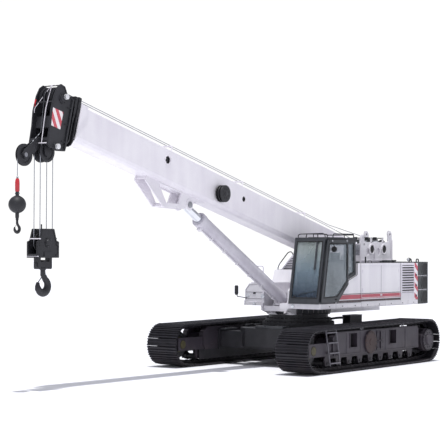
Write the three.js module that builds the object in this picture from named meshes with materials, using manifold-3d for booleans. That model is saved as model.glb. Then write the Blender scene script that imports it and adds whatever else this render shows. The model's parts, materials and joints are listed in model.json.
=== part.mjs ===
// Telescopic-boom crawler crane, millimetres, +X forward along the boom, +Y left (cab side), +Z up.
// Ground is Z = 0. The swing axis is the Z axis of the group "crane", which is moved along X at the end
// so that the whole machine is centred on the origin.
import * as THREE from "three";
import { mergeVertices } from "three/addons/utils/BufferGeometryUtils.js";
import Module from "manifold-3d";

const wasm = await Module();
wasm.setup();

// ---------- driving dimensions ----------
const gap = 0.4; // play between neighbours that touch
const crawler = { length: 6390, height: 1090, shoe: 874, gauge: 3710, pitch: 203 };
const sprocket = { r: 530, z: 560 }; // r: outside of the shoes
sprocket.x = -crawler.length / 2 + sprocket.r;
const idler = { r: 495, z: 545 };
idler.x = crawler.length / 2 - idler.r;
const shoeThick = 52, linkThick = 82, linkWide = 300;
const bottom = { r: 260, x0: sprocket.x + 585, x1: idler.x - 570 }; // ends of the belt's flat run on the ground
const sideFrame = { x0: sprocket.x + 425, x1: idler.x - 860, z0: 390, z1: 940, width: 640 };
const deck = { z0: 1250, sill: 1433, top: 1553, half: 1517, front: 1420, rightFront: 200, rear: -3433.5 };
const housing = { top: 2519, front: -470, rear: -3250, wall: 30, depth: 760 };
const cab = { rear: -280, front: 1449, frontTop: 1146, floor: deck.top + gap, top: 3134, width: 880, wall: 50 };
const post = { x: 175, width: 70 }; // between the door and the rear quarter window
const weight = { front: -3434, rear: -4250, z0: 1440, z1: 2540, half: 1517, corner: 330 };
const pivot = { x: -1434, z: 2643 }; // boom foot pin
const luffRest = THREE.MathUtils.degToRad(13.81);
const axisUp = 250; // boom axis above the foot pin
const base = { half: 268, deep: 366, rear: -430, front: 10430, wall: 12, chamfer: 95 };
const nest = 32; // each inner section is this much smaller all round
const eye = { t: 6300, s: -570, r: 88 }; // luffing cylinder pin, in boom coordinates
const foot = { x: 600, z: 1550 }; // luffing cylinder foot pin
const cylinder = { r: 160, bore: 124, rod: 95, length: 4110, overlap: 300, longest: 7280 };
const sheave = { r: 200, groove: 30, wide: 52, pitch: 160 }; // pitch: across the pair of sheaves
const mainHang = { x: 9350, z: 4760 };
const auxHang = { x: 9910, z: 4670 };
const block = { sheaveZ: 2960, guardTop: 3235, bottom: 2660, half: 310, cheek: 30, wide: 280, yoke: 2465 };
const ball = { z: 3695, r: 172, hookZ: 3127, socket: 510 };
const ropeR = 9;

// ---------- solids ----------
function toSolid(geometry) {
  geometry.deleteAttribute("normal");
  geometry.deleteAttribute("uv");
  const g = mergeVertices(geometry, 1e-3);
  return new wasm.Manifold(
    new wasm.Mesh({
      numProp: 3,
      vertProperties: new Float32Array(g.attributes.position.array),
      triVerts: new Uint32Array(g.index.array),
    }),
  );
}

function toGeometry(solid) {
  const mesh = solid.getMesh();
  const points = new Float32Array(mesh.numVert * 3);
  for (let i = 0; i < mesh.numVert; i++)
    points.set(mesh.vertProperties.subarray(i * mesh.numProp, i * mesh.numProp + 3), i * 3);
  const g = new THREE.BufferGeometry();
  g.setAttribute("position", new THREE.BufferAttribute(points, 3));
  g.setIndex(new THREE.BufferAttribute(mesh.triVerts, 1));
  g.computeVertexNormals();
  return g;
}

const join = (...solids) => solids.flat().reduce((a, b) => a.add(b));
const cut = (solid, ...tools) => tools.flat().reduce((a, b) => a.subtract(b), solid);

function box(x0, x1, y0, y1, z0, z1) {
  const g = new THREE.BoxGeometry(x1 - x0, y1 - y0, z1 - z0);
  return toSolid(g.translate((x0 + x1) / 2, (y0 + y1) / 2, (z0 + z1) / 2));
}

// a round bar about an axis ("x", "y" or "z") from a to b along it, centred at the two other coordinates
function bar(axis, a, b, u, v, r, segments = 20, r2 = r) {
  const g = new THREE.CylinderGeometry(r2, r, b - a, segments);
  if (axis === "x") g.rotateZ(-Math.PI / 2).translate((a + b) / 2, u, v);
  if (axis === "y") g.translate(u, (a + b) / 2, v);
  if (axis === "z") g.rotateX(Math.PI / 2).translate(u, v, (a + b) / 2);
  return toSolid(g);
}

function outline(points) {
  return new THREE.Shape(points.map(([u, v]) => new THREE.Vector2(u, v)));
}

// profile of (x, z) points, extruded from y0 to y1
function plateXZ(points, y0, y1) {
  const g = new THREE.ExtrudeGeometry(outline(points), { depth: y1 - y0, bevelEnabled: false });
  return toSolid(g.rotateX(Math.PI / 2).translate(0, y1, 0));
}

// profile of (y, z) points, extruded from x0 to x1
function plateYZ(points, x0, x1) {
  const g = new THREE.ExtrudeGeometry(outline(points), { depth: x1 - x0, bevelEnabled: false });
  const m = new THREE.Matrix4().makeBasis(
    new THREE.Vector3(0, 1, 0), new THREE.Vector3(0, 0, 1), new THREE.Vector3(1, 0, 0));
  return toSolid(g.applyMatrix4(m).translate(x0, 0, 0));
}

// profile of (x, y) points, extruded from z0 to z1
function plateXY(points, z0, z1) {
  const g = new THREE.ExtrudeGeometry(outline(points), { depth: z1 - z0, bevelEnabled: false });
  return toSolid(g.translate(0, 0, z0));
}

// a round tube through the points; the bends are rounded by `bend`
function tube(points, r, bend = 60, sides = 6) {
  const path = new THREE.CurvePath();
  const p = points.map((q) => new THREE.Vector3(...q));
  let last = p[0];
  for (let i = 1; i < p.length - 1; i++) {
    const before = p[i].clone().add(last.clone().sub(p[i]).setLength(bend));
    const after = p[i].clone().add(p[i + 1].clone().sub(p[i]).setLength(bend));
    path.add(new THREE.LineCurve3(last, before));
    path.add(new THREE.QuadraticBezierCurve3(before, p[i], after));
    last = after;
  }
  path.add(new THREE.LineCurve3(last, p[p.length - 1]));
  const ring = new THREE.Shape();
  for (let i = 0; i < sides; i++) {
    const a = (2 * Math.PI * i) / sides;
    if (i) ring.lineTo(r * Math.cos(a), r * Math.sin(a));
    else ring.moveTo(r, 0);
  }
  const steps = 3 * path.curves.length;
  return toSolid(new THREE.ExtrudeGeometry(ring, { steps, extrudePath: path, bevelEnabled: false }));
}

// a straight round bar between two points
function strut(a, b, r, sides = 12) {
  const from = new THREE.Vector3(...a), to = new THREE.Vector3(...b), way = to.clone().sub(from);
  const g = new THREE.CylinderGeometry(r, r, way.length(), sides);
  const q = new THREE.Quaternion().setFromUnitVectors(new THREE.Vector3(0, 1, 0), way.clone().normalize());
  return toSolid(g.applyQuaternion(q).translate(...from.add(to).multiplyScalar(0.5).toArray()));
}

function tubes(paths, r, bend) {
  return join(paths.map((points) => tube(points, r, bend)));
}

const both = [1, -1];
const span = (sign, a, b) => (sign > 0 ? [a, b] : [-b, -a]);

// ---------- colours ----------
const paint = {
  white: [0xdcd8e4, 0.45, 0.05],
  grey: [0xa9a8b6, 0.45, 0.1],
  charcoal: [0x2a2c33, 0.5, 0.1],
  black: [0x1b1b1f, 0.55, 0.1],
  frame: [0x3a3540, 0.6, 0.1],
  steel: [0x8f9096, 0.35, 0.9],
  chrome: [0xd8dade, 0.15, 1.0],
  glass: [0x5f7480, 0.08, 0.0],
  cloth: [0x24262b, 0.9, 0.0],
  rope: [0x9a9da0, 0.5, 0.8],
};

function part(parent, name, solid, [color, roughness, metalness]) {
  const material = new THREE.MeshStandardMaterial({ color, roughness, metalness });
  const mesh = new THREE.Mesh(toGeometry(solid), material);
  mesh.name = name;
  parent.add(mesh);
  return mesh;
}

const machine = new THREE.Group();
machine.name = "machine";
const crane = new THREE.Group();
crane.name = "crane";
machine.add(crane);

// ---------- crawlers ----------
// outline of the belt round the sprocket, the idler and the bottom rollers, inset from the outside of the shoes
function beltLoop(inset) {
  const circles = [
    [sprocket.x, sprocket.z, sprocket.r],
    [bottom.x0, bottom.r, bottom.r],
    [bottom.x1, bottom.r, bottom.r],
    [idler.x, idler.z, idler.r],
  ].map(([x, z, r]) => [x, z, r - inset]);
  const points = [];
  for (let i = 0; i < circles.length; i++) {
    const [x0, z0, r0] = circles[(i + circles.length - 1) % circles.length];
    const [x1, z1, r1] = circles[i];
    const [x2, z2, r2] = circles[(i + 1) % circles.length];
    const normal = (ax, az, ar, bx, bz, br) => {
      const way = Math.atan2(bz - az, bx - ax);
      return way - Math.acos((ar - br) / Math.hypot(bx - ax, bz - az));
    };
    const a0 = normal(x0, z0, r0, x1, z1, r1);
    let a1 = normal(x1, z1, r1, x2, z2, r2);
    while (a1 < a0) a1 += 2 * Math.PI;
    const n = Math.max(1, Math.round((a1 - a0) / 0.1));
    for (let k = 0; k <= n; k++) {
      const a = a0 + ((a1 - a0) * k) / n;
      points.push([x1 + r1 * Math.cos(a), z1 + r1 * Math.sin(a)]);
    }
  }
  return points;
}

// the outside of the belt as shoes: a raised land on each, with a shallow notch where two shoes meet
function shoeLoop() {
  const smooth = new THREE.CurvePath();
  const loop = beltLoop(0).map(([x, z]) => new THREE.Vector3(x, z, 0));
  loop.forEach((p, i) => smooth.add(new THREE.LineCurve3(p, loop[(i + 1) % loop.length])));
  const count = Math.round(smooth.getLength() / crawler.pitch);
  const points = [];
  for (let i = 0; i < count; i++)
    for (const [share, drop] of [[0.02, 0], [0.88, 0], [0.95, 28]]) {
      const u = (i + share) / count;
      const p = smooth.getPointAt(u), t = smooth.getTangentAt(u);
      points.push([p.x - t.y * drop, p.y + t.x * drop]);
    }
  return points;
}

function crawlerParts(side, label) {
  const yMid = (side * crawler.gauge) / 2;
  const group = new THREE.Group();
  group.name = `crawler_${label}`;
  group.position.y = yMid;
  crane.add(group);
  const half = crawler.shoe / 2;

  const shoes = cut(plateXZ(shoeLoop(), -half, half), plateXZ(beltLoop(shoeThick), -half - 10, half + 10));
  const links = cut(
    plateXZ(beltLoop(shoeThick - 6), -linkWide / 2, linkWide / 2),
    plateXZ(beltLoop(shoeThick + linkThick), -linkWide, linkWide));
  part(group, `track_loop_${label}`, join(shoes, links), paint.black);

  const inner = shoeThick + linkThick + 2 * gap;
  const toothed = (r) => {
    const wheel = bar("y", -75, 75, sprocket.x, sprocket.z, r, 28);
    return cut(wheel, [0, 1, 2, 3, 4, 5].map((k) => {
      const a = (k * Math.PI) / 3 + 0.26;
      const away = 0.62 * r;
      return bar("y", -100, 100, sprocket.x + away * Math.cos(a), sprocket.z + away * Math.sin(a), 48, 8);
    }));
  };
  const drive = join(
    toothed(sprocket.r - inner),
    bar("y", ...span(side, -330, 100), sprocket.x, sprocket.z, 215, 28),
    bar("y", ...span(side, 90, 385), sprocket.x, sprocket.z, 290, 28),
    bar("y", ...span(side, 380, 425), sprocket.x, sprocket.z, 150, 24));
  part(group, `drive_sprocket_${label}`, drive, paint.frame);

  const wheel = join(
    bar("y", -140, 140, idler.x, idler.z, idler.r - inner, 36),
    bar("y", -300, 300, idler.x, idler.z, 110, 20));
  part(group, `front_idler_${label}`, wheel, paint.frame);

  // side frame: a middle beam under the links with a taller plate on each face, two windows through the faces,
  // forks for the idler, a housing for the drive, slides under the top run and a round cover
  const w = sideFrame.width / 2;
  const profile = (top) => [
    [sideFrame.x0, sideFrame.z0], [sideFrame.x1, sideFrame.z0], [sideFrame.x1 + 70, sideFrame.z0 + 130],
    [sideFrame.x1 + 70, top - 130], [sideFrame.x1 - 90, top],
    [sideFrame.x0 + 70, top], [sideFrame.x0, top - 90],
  ];
  const middleTop = sideFrame.z1 - 140;
  const faces = both.map((s) => plateXZ(profile(sideFrame.z1), ...span(s, linkWide / 2 + 40, w)));
  const windows = [-1060, 830].flatMap((x) =>
    both.map((s) => box(x, x + 310, ...span(s, linkWide / 2 + 20, w + 10), 555, 885)));
  const slides = [-1350, -100, 1150].map((x) => {
    const share = (x - sprocket.x) / (idler.x - sprocket.x);
    const under = THREE.MathUtils.lerp(sprocket.z + sprocket.r, idler.z + idler.r, share) - inner;
    return box(x - 110, x + 110, -60, 60, middleTop - 20, under - 4);
  });
  const forks = both.map((s) =>
    box(sideFrame.x1 - 60, idler.x + 190, ...span(s, 200, 290), idler.z - 145, idler.z + 160));
  const driveArms = join(
    box(sprocket.x, sideFrame.x0 + 120, ...span(side, -315, -225), sprocket.z - 150, sprocket.z + 200),
    bar("y", ...span(side, -315, -225), sprocket.x, sprocket.z, 290, 28));
  const frame = cut(
    join(plateXZ(profile(middleTop), -w + 20, w - 20), faces, slides, forks, driveArms,
      bar("y", ...span(side, w - 10, w + 34), 220, 640, 280, 28)),
    windows,
    bar("y", -301, 301, idler.x, idler.z, 110 + 2 * gap, 20),
    bar("y", ...span(side, -340, 340), sprocket.x, sprocket.z, 215 + gap, 28));
  part(group, `crawler_frame_${label}`, frame, paint.frame);

  // bottom rollers on their shafts, held by a guard rail along each side
  const floor = shoeThick + linkThick + gap;
  const rollerR = 88, rollerZ = floor + rollerR;
  const rollers = [];
  for (let i = 0; i < 9; i++) {
    const x = bottom.x0 + 120 + (i * (bottom.x1 - bottom.x0 - 250)) / 8;
    rollers.push(bar("y", -190, 190, x, rollerZ, rollerR, 14));
  }
  const rails = both.map((s) =>
    box(bottom.x0 + 20, bottom.x1 - 30, ...span(s, 185, 225), rollerZ - 60, sideFrame.z0 - gap));
  part(group, `track_rollers_${label}`, join(rails, rollers), paint.black);
}
both.forEach((side) => crawlerParts(side, side > 0 ? "left" : "right"));

// ---------- carbody ----------
const innerFace = crawler.gauge / 2 - sideFrame.width / 2 - gap;
const beamTop = 830;
const carBody = join(
  plateXY([[-1450, -620], [-1100, -1000], [1100, -1000], [1450, -620],
    [1450, 620], [1100, 1000], [-1100, 1000], [-1450, 620]], 480, 930),
  bar("z", 900, 1060, 0, 0, 900, 40),
  [-1, 1].map((s) => join(
    box(...span(s, 830, 1250), -innerFace, innerFace, 420, beamTop),
    box(...span(s, 760, 1320), -innerFace, -innerFace + 50, 370, beamTop + 30),
    box(...span(s, 760, 1320), innerFace - 50, innerFace, 370, beamTop + 30))));
part(crane, "carbody_frame", cut(carBody, bar("z", 400, 1100, 0, 0, 330, 32)), paint.charcoal);

const bearing = join(
  bar("z", 1060 + gap, 1150, 0, 0, 820, 36),
  bar("z", 1140, deck.z0 - gap, 0, 0, 740, 36));
part(crane, "swing_bearing", cut(bearing, bar("z", 1000, 1300, 0, 0, 560, 40)), paint.black);

// ---------- upper structure ----------
const upper = new THREE.Group();
upper.name = "upper";
crane.add(upper);
const sideY = 345; // inner face of the boom foot plates
const footPlate = [
  [-3400, deck.z0 + 20], [780, deck.z0 + 20], [1100, 1370], [1100, 1480], [900, 1640], [420, 1700],
  [-300, 1800],
  [-1000, 2450], [-1230, 2760], [-1434, 2850], [-1640, 2760], [-1900, 2420], [-2400, 2380], [-3400, 2380],
];
const platesY = both.map((s) => plateXZ(footPlate, ...span(s, sideY, sideY + 45)));
const floorPlate = box(-3400, 780, -sideY - 45, sideY + 45, deck.z0, deck.z0 + 60);
const crossPlates = [[-3300, 2330], [-2350, 2300]].map(([x, z]) =>
  box(x, x + 40, -sideY - 20, sideY + 20, deck.z0 + 20, z));
const sills = both.map((s) =>
  box(deck.rear, s > 0 ? deck.front : deck.rightFront, ...span(s, sideY + 30, deck.half), deck.sill, deck.top));
// two lugs hold the foot of the luffing cylinder, each a plate between the boom foot plates
const footLugs = both.map((s) => join(
  plateXZ([[foot.x - 330, deck.z0 + 40], [foot.x + 330, deck.z0 + 40], [foot.x + 130, foot.z + 130],
    [foot.x - 130, foot.z + 130]], ...span(s, 168, 215)),
  box(foot.x - 40, foot.x + 40, ...span(s, 205, sideY + 10), deck.z0 + 40, foot.z - 60)));
const footPinR = 62, cylinderPinR = 70;
const bore = (r) => r / Math.cos(Math.PI / 28) + gap; // a 28-sided hole that a pin of radius r turns in
part(upper, "deck_frame", cut(
  join(platesY, floorPlate, crossPlates, sills, footLugs),
  bar("y", -500, 500, pivot.x, pivot.z, bore(footPinR), 28),
  bar("y", -260, 260, foot.x, foot.z, bore(cylinderPinR), 28)), paint.white);

// ---------- cab ----------
const cabY1 = deck.half - 32, cabY0 = deck.half - cab.width;
const lean = (cab.front - cab.frontTop) / (cab.top - cab.floor);
const frontX = (z) => cab.front - lean * (z - cab.floor);
const cabSide = (inset) => [
  [cab.rear + inset, cab.floor + inset], [frontX(cab.floor) - inset, cab.floor + inset],
  [frontX(cab.top) - inset, cab.top - inset], [cab.rear + inset, cab.top - inset],
];
const doorFront = (z) => frontX(z) - 95;
const cabFloor = cab.floor + cab.wall;
const doorOpening = [
  [post.x + post.width / 2, 2060], [640, 1680], [doorFront(1680), 1680],
  [doorFront(3040), 3040], [post.x + post.width / 2, 3040],
];
const quarterOpening = [
  [cab.rear + 75, 2290], [post.x - post.width / 2, 2180], [post.x - post.width / 2, 3020],
  [cab.rear + 75, 3020],
];
const sideWindow = [
  [cab.rear + 130, 2250], [doorFront(1950) - 30, 1950], [doorFront(3020) - 20, 3020],
  [cab.rear + 130, 3020],
];
const frontOpening = { y0: cabY0 + 75, y1: cabY1 - 60, z0: 1700, z1: 3040 };
const shell = cut(
  plateXZ(cabSide(0), cabY0, cabY1),
  plateXZ(cabSide(cab.wall), cabY0 + cab.wall, cabY1 - cab.wall),
  plateXZ(doorOpening, cabY1 - cab.wall - 5, cabY1 + 5),
  plateXZ(quarterOpening, cabY1 - cab.wall - 5, cabY1 + 5),
  plateXZ(sideWindow, cabY0 - 5, cabY0 + cab.wall + 5),
  plateXZ([[frontX(frontOpening.z0) - 90, frontOpening.z0], [frontX(frontOpening.z0) + 60, frontOpening.z0],
    [frontX(frontOpening.z1) + 60, frontOpening.z1], [frontX(frontOpening.z1) - 90, frontOpening.z1]],
    frontOpening.y0, frontOpening.y1),
  box(cab.rear - 5, cab.rear + cab.wall + 5, cabY0 + 110, cabY1 - 110, 2420, 2960),
  box(120, 760, cabY0 + 160, cabY1 - 160, cab.top - cab.wall - 5, cab.top + 5));
part(upper, "cab_shell", shell, paint.charcoal);

const inset = (points, d) => {
  const cx = points.reduce((s, p) => s + p[0], 0) / points.length;
  const cz = points.reduce((s, p) => s + p[1], 0) / points.length;
  return points.map(([x, z]) => [x - Math.sign(x - cx) * d, z - Math.sign(z - cz) * d]);
};
const quarterGlass = plateXZ(inset(quarterOpening, 0.5), cabY1 - 30, cabY1 - 22);
part(upper, "quarter_glass", quarterGlass, paint.glass);
const rightGlass = plateXZ(inset(sideWindow, 0.5), cabY0 + 20, cabY0 + 28);
part(upper, "right_window_glass", rightGlass, paint.glass);
const pane = (z, d) => frontX(z) - d;
const windshield = plateXZ([[pane(frontOpening.z0 + 0.5, 30), frontOpening.z0 + 0.5],
  [pane(frontOpening.z0 + 0.5, 22), frontOpening.z0 + 0.5],
  [pane(frontOpening.z1 - 0.5, 22), frontOpening.z1 - 0.5],
  [pane(frontOpening.z1 - 0.5, 30), frontOpening.z1 - 0.5]], frontOpening.y0 + 0.5, frontOpening.y1 - 0.5);
part(upper, "windshield_glass", windshield, paint.glass);

// sliding door, outside the cab wall, with its glass
const doorY = [deck.half + 6, deck.half + 36];
const doorOuter = [
  [post.x, 2010], [655, 1590], [doorFront(1590) + 55, 1590], [doorFront(3085) + 50, 3085], [post.x, 3085],
];
const doorWindow = [
  [post.x + 60, 2085], [700, 1715], [doorFront(1700) - 15, 1700], [doorFront(3000) - 10, 3000],
  [post.x + 60, 3000],
];
const doorRails = join(
  box(post.x - 5, doorFront(3085), doorY[0], doorY[1] + 12, 3040, 3078),
  box(post.x + 150, post.x + 230, cabY1 + 5.5, doorY[1], 3046, 3070),
  box(doorFront(3085) - 140, doorFront(3085) - 60, cabY1 + 5.5, doorY[1], 3046, 3070));
const door = cut(join(plateXZ(doorOuter, ...doorY), doorRails),
  plateXZ(doorWindow, doorY[0] - 10, doorY[1] + 20));
part(upper, "cab_door", door, paint.charcoal);
part(upper, "cab_door_glass", plateXZ(inset(doorWindow, 0.5), doorY[0] + 10, doorY[0] + 18), paint.glass);

// runners on the cab wall that the door hangs from, and the lower rail beside it
const runner = join(
  box(cab.rear - 130, doorFront(3100) - 20, cabY1 + 0.4, cabY1 + 26, 3078.5, 3110),
  box(cab.rear - 130, doorFront(3100) - 20, cabY1 + 0.4, cabY1 + 5, 3046, 3110),
  box(cab.rear - 130, cab.rear - 60, cabY1 + 0.4, cabY1 + 20, 3000, 3110));
part(upper, "door_runner", runner, paint.black);

// roof guard: a rail round the roof on short posts
const roofZ = cab.top + gap, railZ = cab.top + 118;
const gx0 = cab.rear + 40, gx1 = cab.frontTop - 60, gy0 = cabY0 + 50, gy1 = cabY1 - 40;
const guardLoop = tubes([
  [[gx1, gy0, roofZ], [gx1, gy0, railZ], [gx1, gy1, railZ], [gx1, gy1, roofZ]],
  [[gx1, gy1, railZ - 45], [gx0, gy1, railZ - 45]], [[gx1, gy0, railZ - 45], [gx0, gy0, railZ - 45]],
  [[gx0, gy0, roofZ], [gx0, gy0, railZ], [gx0, gy1, railZ], [gx0, gy1, roofZ]],
  [[330, gy1, roofZ], [330, gy1, railZ - 45]], [[330, gy0, roofZ], [330, gy0, railZ - 45]],
], 13, 35);
part(upper, "roof_guard_rail", guardLoop, paint.black);

const seatX = 250, seatY = (cabY0 + cabY1) / 2;
const seat = join(
  box(seatX - 150, seatX + 180, seatY - 150, seatY + 150, cabFloor + gap, cabFloor + 270),
  box(seatX - 230, seatX + 270, seatY - 250, seatY + 250, cabFloor + 260, cabFloor + 400),
  plateXZ([[seatX - 230, cabFloor + 390], [seatX - 90, cabFloor + 390], [seatX - 200, cabFloor + 1010],
    [seatX - 310, cabFloor + 1010]], seatY - 230, seatY + 230),
  plateXZ([[seatX - 300, cabFloor + 990], [seatX - 210, cabFloor + 990], [seatX - 230, cabFloor + 1170],
    [seatX - 310, cabFloor + 1170]], seatY - 130, seatY + 130));
part(upper, "operator_seat", seat, paint.cloth);
const consoleSolid = join(
  box(870, 1150, cabY0 + 70, cabY0 + 330, cabFloor + gap, cabFloor + 520),
  plateXZ([[820, cabFloor + 510], [1160, cabFloor + 510], [1130, cabFloor + 700], [1010, cabFloor + 730]],
    cabY0 + 60, cabY0 + 340),
  box(900, 1180, cabY1 - 420, cabY1 - 130, cabFloor + gap, cabFloor + 90),
  box(900, 960, cabY0 + 300, cabY1 - 200, cabFloor + gap, cabFloor + 60));
part(upper, "control_console", consoleSolid, paint.cloth);

// ---------- left housing: a panelled box and the fairing under the cab's rear corner ----------
const hy1 = deck.half, hy0 = deck.half - housing.depth;
const deckZ = deck.top + gap;
const leftHousing = cut(
  join(
    box(housing.rear, housing.front, hy0, hy1, deckZ, housing.top),
    plateXZ([[housing.front - 10, deckZ], [700, deckZ], [640, 1640], [135, 2085], [100, 2110],
      [-300, 2235], [-300, 2519], [housing.front - 10, 2519]], cabY1 + 0.6, hy1)),
  box(housing.rear + housing.wall, housing.front - housing.wall, hy0 + housing.wall, hy1 - housing.wall,
    deckZ - 10, housing.top - housing.wall));
part(upper, "left_side_housing", leftHousing, paint.white);

// ---------- right side: engine hood, tank and tool box ----------
const ry0 = -deck.half, ry1 = -deck.half + 790;
const hoodEnds = [-3250, -1200];
const hood = cut(
  plateYZ([[ry0, deckZ], [ry1, deckZ], [ry1, 2720], [-960, 2720], [-1290, 2360], [ry0, 2150]], ...hoodEnds),
  plateYZ([[ry0 + 30, deckZ - 10], [ry1 - 30, deckZ - 10], [ry1 - 30, 2690], [-947, 2690], [-1268, 2338],
    [ry0 + 30, 2130]], hoodEnds[0] + 30, hoodEnds[1] - 30));
part(upper, "engine_hood_right", hood, paint.white);
part(upper, "engine_block", box(-2900, -1620, ry0 + 110, ry1 - 110, deckZ, 2080), paint.frame);
const tankTop = 2010, humpTop = 2330, tankRear = hoodEnds[1] + 10;
const tank = join(
  box(tankRear, -100, ry0, ry1 - 160, deckZ, tankTop),
  plateXZ([[tankRear, tankTop - 10], [tankRear, humpTop], [-1000, humpTop], [-870, tankTop - 10]],
    ry0 + 130, ry1 - 90),
  plateYZ([[ry0 + 27, deckZ], [-907, deckZ], [-907, 1850], [-1000, tankTop - 20], [-1360, tankTop - 20],
    [ry0 + 27, 1830]], -110, deck.rightFront));
part(upper, "fuel_tank", tank, paint.white);

// ---------- winches ----------
const winchFrame = { x0: -4090, x1: -2420, y: sideY, plate: 32, z0: 2380 + gap, z1: 3060 };
const winchPlate = (s) => {
  const body = plateXZ([[winchFrame.x0, 2545], [weight.front + 8, 2545], [weight.front + 8, winchFrame.z0],
    [winchFrame.x1, winchFrame.z0], [winchFrame.x1, winchFrame.z1], [winchFrame.x0 + 260, winchFrame.z1],
    [winchFrame.x0, winchFrame.z1 + 110]], ...span(s, winchFrame.y, winchFrame.y + winchFrame.plate));
  const holes = [-2780, -3330].map((x) => bar("y", ...span(s, 350, 480), x, 2800, 100, 20));
  const eyes = [winchFrame.x1 - 90, winchFrame.x0 + 110].map((x, i) => {
    const z = winchFrame.z1 + (i ? 190 : 90);
    return cut(join(bar("y", ...span(s, winchFrame.y, winchFrame.y + 30), x, z, 105, 20),
      box(x - 105, x + 105, ...span(s, winchFrame.y, winchFrame.y + 30), z - 180, z)),
      bar("y", ...span(s, 380, 460), x, z, 52, 16));
  });
  return join(cut(body, holes), eyes);
};
const winchFloor = box(winchFrame.x0 + 40, winchFrame.x1 - 40, -winchFrame.y - 5, winchFrame.y + 5,
  2545, 2585);
const winchTies = [[winchFrame.x1 - 60, 2585], [winchFrame.x0 + 60, 2900]].map(([x, z]) =>
  box(x - 20, x + 20, -winchFrame.y - 5, winchFrame.y + 5, z - 30, z + 120));
part(upper, "winch_frame", join(both.map(winchPlate), winchFloor, winchTies), paint.white);
const drum = (x, z, r) => join(
  bar("y", -winchFrame.y + gap, winchFrame.y - gap, x, z, r - 90, 28),
  both.map((s) => bar("y", ...span(s, 296, 326), x, z, r, 32)),
  bar("y", -300, 300, x, z, r - 55, 32));
part(upper, "main_winch_drum", drum(-3640, 2870, 262), paint.black);
part(upper, "aux_winch_drum", drum(-2990, 2870, 248), paint.black);

// ---------- counterweight: three slabs with rounded rear corners ----------
const slab = (z0, z1) => {
  const r = weight.corner, arc = [];
  for (let k = 0; k <= 8; k++) {
    const a = Math.PI / 2 + (k * Math.PI) / 16;
    arc.push([weight.rear + r + r * Math.cos(a), weight.half - r + r * Math.sin(a)]);
  }
  const half = [[weight.front, weight.half], ...arc];
  return plateXY([...half, ...half.map(([x, y]) => [x, -y]).reverse()].reverse(), z0, z1);
};
const slabHeight = (weight.z1 - weight.z0) / 3;
["lower", "middle", "upper"].forEach((label, i) =>
  part(upper, `counterweight_${label}`,
    slab(weight.z0 + i * slabHeight + gap, weight.z0 + (i + 1) * slabHeight), paint.black));

// ---------- boom, in its own frame: X along the boom axis, Z square to it ----------
const boom = new THREE.Group();
boom.name = "boom";
boom.position.set(
  pivot.x - axisUp * Math.sin(luffRest), 0, pivot.z + axisUp * Math.cos(luffRest));
boom.rotation.y = -luffRest;
upper.add(boom);

const ring = (half, deep, chamfer) => [
  [-half, -deep + chamfer], [-half + chamfer * 0.35, -deep + chamfer * 0.35], [-half + chamfer, -deep],
  [half - chamfer, -deep], [half - chamfer * 0.35, -deep + chamfer * 0.35], [half, -deep + chamfer],
  [half, deep - 14], [half - 14, deep], [-half + 14, deep], [-half, deep - 14],
];
const hollow = (half, deep, chamfer, wall, t0, t1) => cut(
  plateYZ(ring(half, deep, chamfer), t0, t1),
  plateYZ(ring(half - wall, deep - wall, chamfer - wall * 0.4), t0 - 5, t1 + 5));
const sized = (n) => [base.half - n * nest, base.deep - n * nest, base.chamfer - n * nest * 0.3];

const bracketSide = [
  [5620, -358], [6150, -470], [6200, -655], [7200, -860], [7930, -470], [7930, -358],
];
const bracketHole = [[6640, -400], [6700, -660], [7120, -745], [7420, -470], [7420, -400]];
const bracket = both.map((s) => cut(
  plateXZ(bracketSide, ...span(s, 130, 160)),
  plateXZ(bracketHole, ...span(s, 100, 200))));
const bracketPin = join(both.map((s) => bar("y", ...span(s, 132, 185), eye.t, eye.s, 58, 20)));
const bracketTie = join(
  box(7100, 7180, -140, 140, -840, -800),
  box(7850, 7900, -140, 140, -420, -358));
// side outline of a collar, upright at the top and cut back at a slant below
const slanted = (t0, t1, back) => plateXZ([
  [t0, 600], [t0, 230], [t0 + back, -60], [t0 + back, -600], [t1, -600], [t1, 600]],
  -base.half * 2, base.half * 2);
const collarBase = cut(
  plateYZ(ring(base.half + 22, base.deep + 35, base.chamfer + 10), base.front - 210, base.front)
    .intersect(slanted(base.front - 210, base.front, 200)),
  plateYZ(ring(base.half - 4, base.deep - 4, base.chamfer), base.front - 220, base.front + 5));
const frontPads = (n, t0, t1) => {
  const [half, deep] = sized(n);
  const outerHalf = half - base.wall, outerDeep = deep - base.wall;
  const [innerHalf, innerDeep] = sized(n + 1);
  return join(
    both.map((s) => box(t0, t1, -innerHalf + 110, innerHalf - 110,
      ...span(s, innerDeep + gap, outerDeep + 4))),
    both.map((s) => box(t0, t1, ...span(s, innerHalf + gap, outerHalf + 4), -90, 90)));
};
const heelSide = [[base.rear, -base.deep], [420, -base.deep], [420, 120], [60, 300], [base.rear, 300]];
const heel = join(both.map((s) => plateXZ(heelSide, ...span(s, base.half - 2, base.half + 26))));
const pinBoss = join(both.map((s) => bar("y", ...span(s, base.half - 6, sideY - gap), 0, -axisUp, 120, 28)));
const boomBase = cut(
  join(
    hollow(base.half, base.deep, base.chamfer, base.wall, base.rear, base.front),
    collarBase, frontPads(0, base.front - 320, base.front - 100), heel, pinBoss,
    bracket, bracketPin, bracketTie,
    box(base.rear, base.rear + 30, -base.half + 5, base.half - 5, -base.deep + 100, base.deep - 180)),
  bar("y", -sideY, sideY, 7430, 130, 86, 20),
  bar("y", 200, 300, 4430, 80, 64, 18),
  bar("y", -sideY - 5, sideY + 5, 0, -axisUp, bore(footPinR), 28));
part(boom, "boom_base", boomBase, paint.white);

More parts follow.
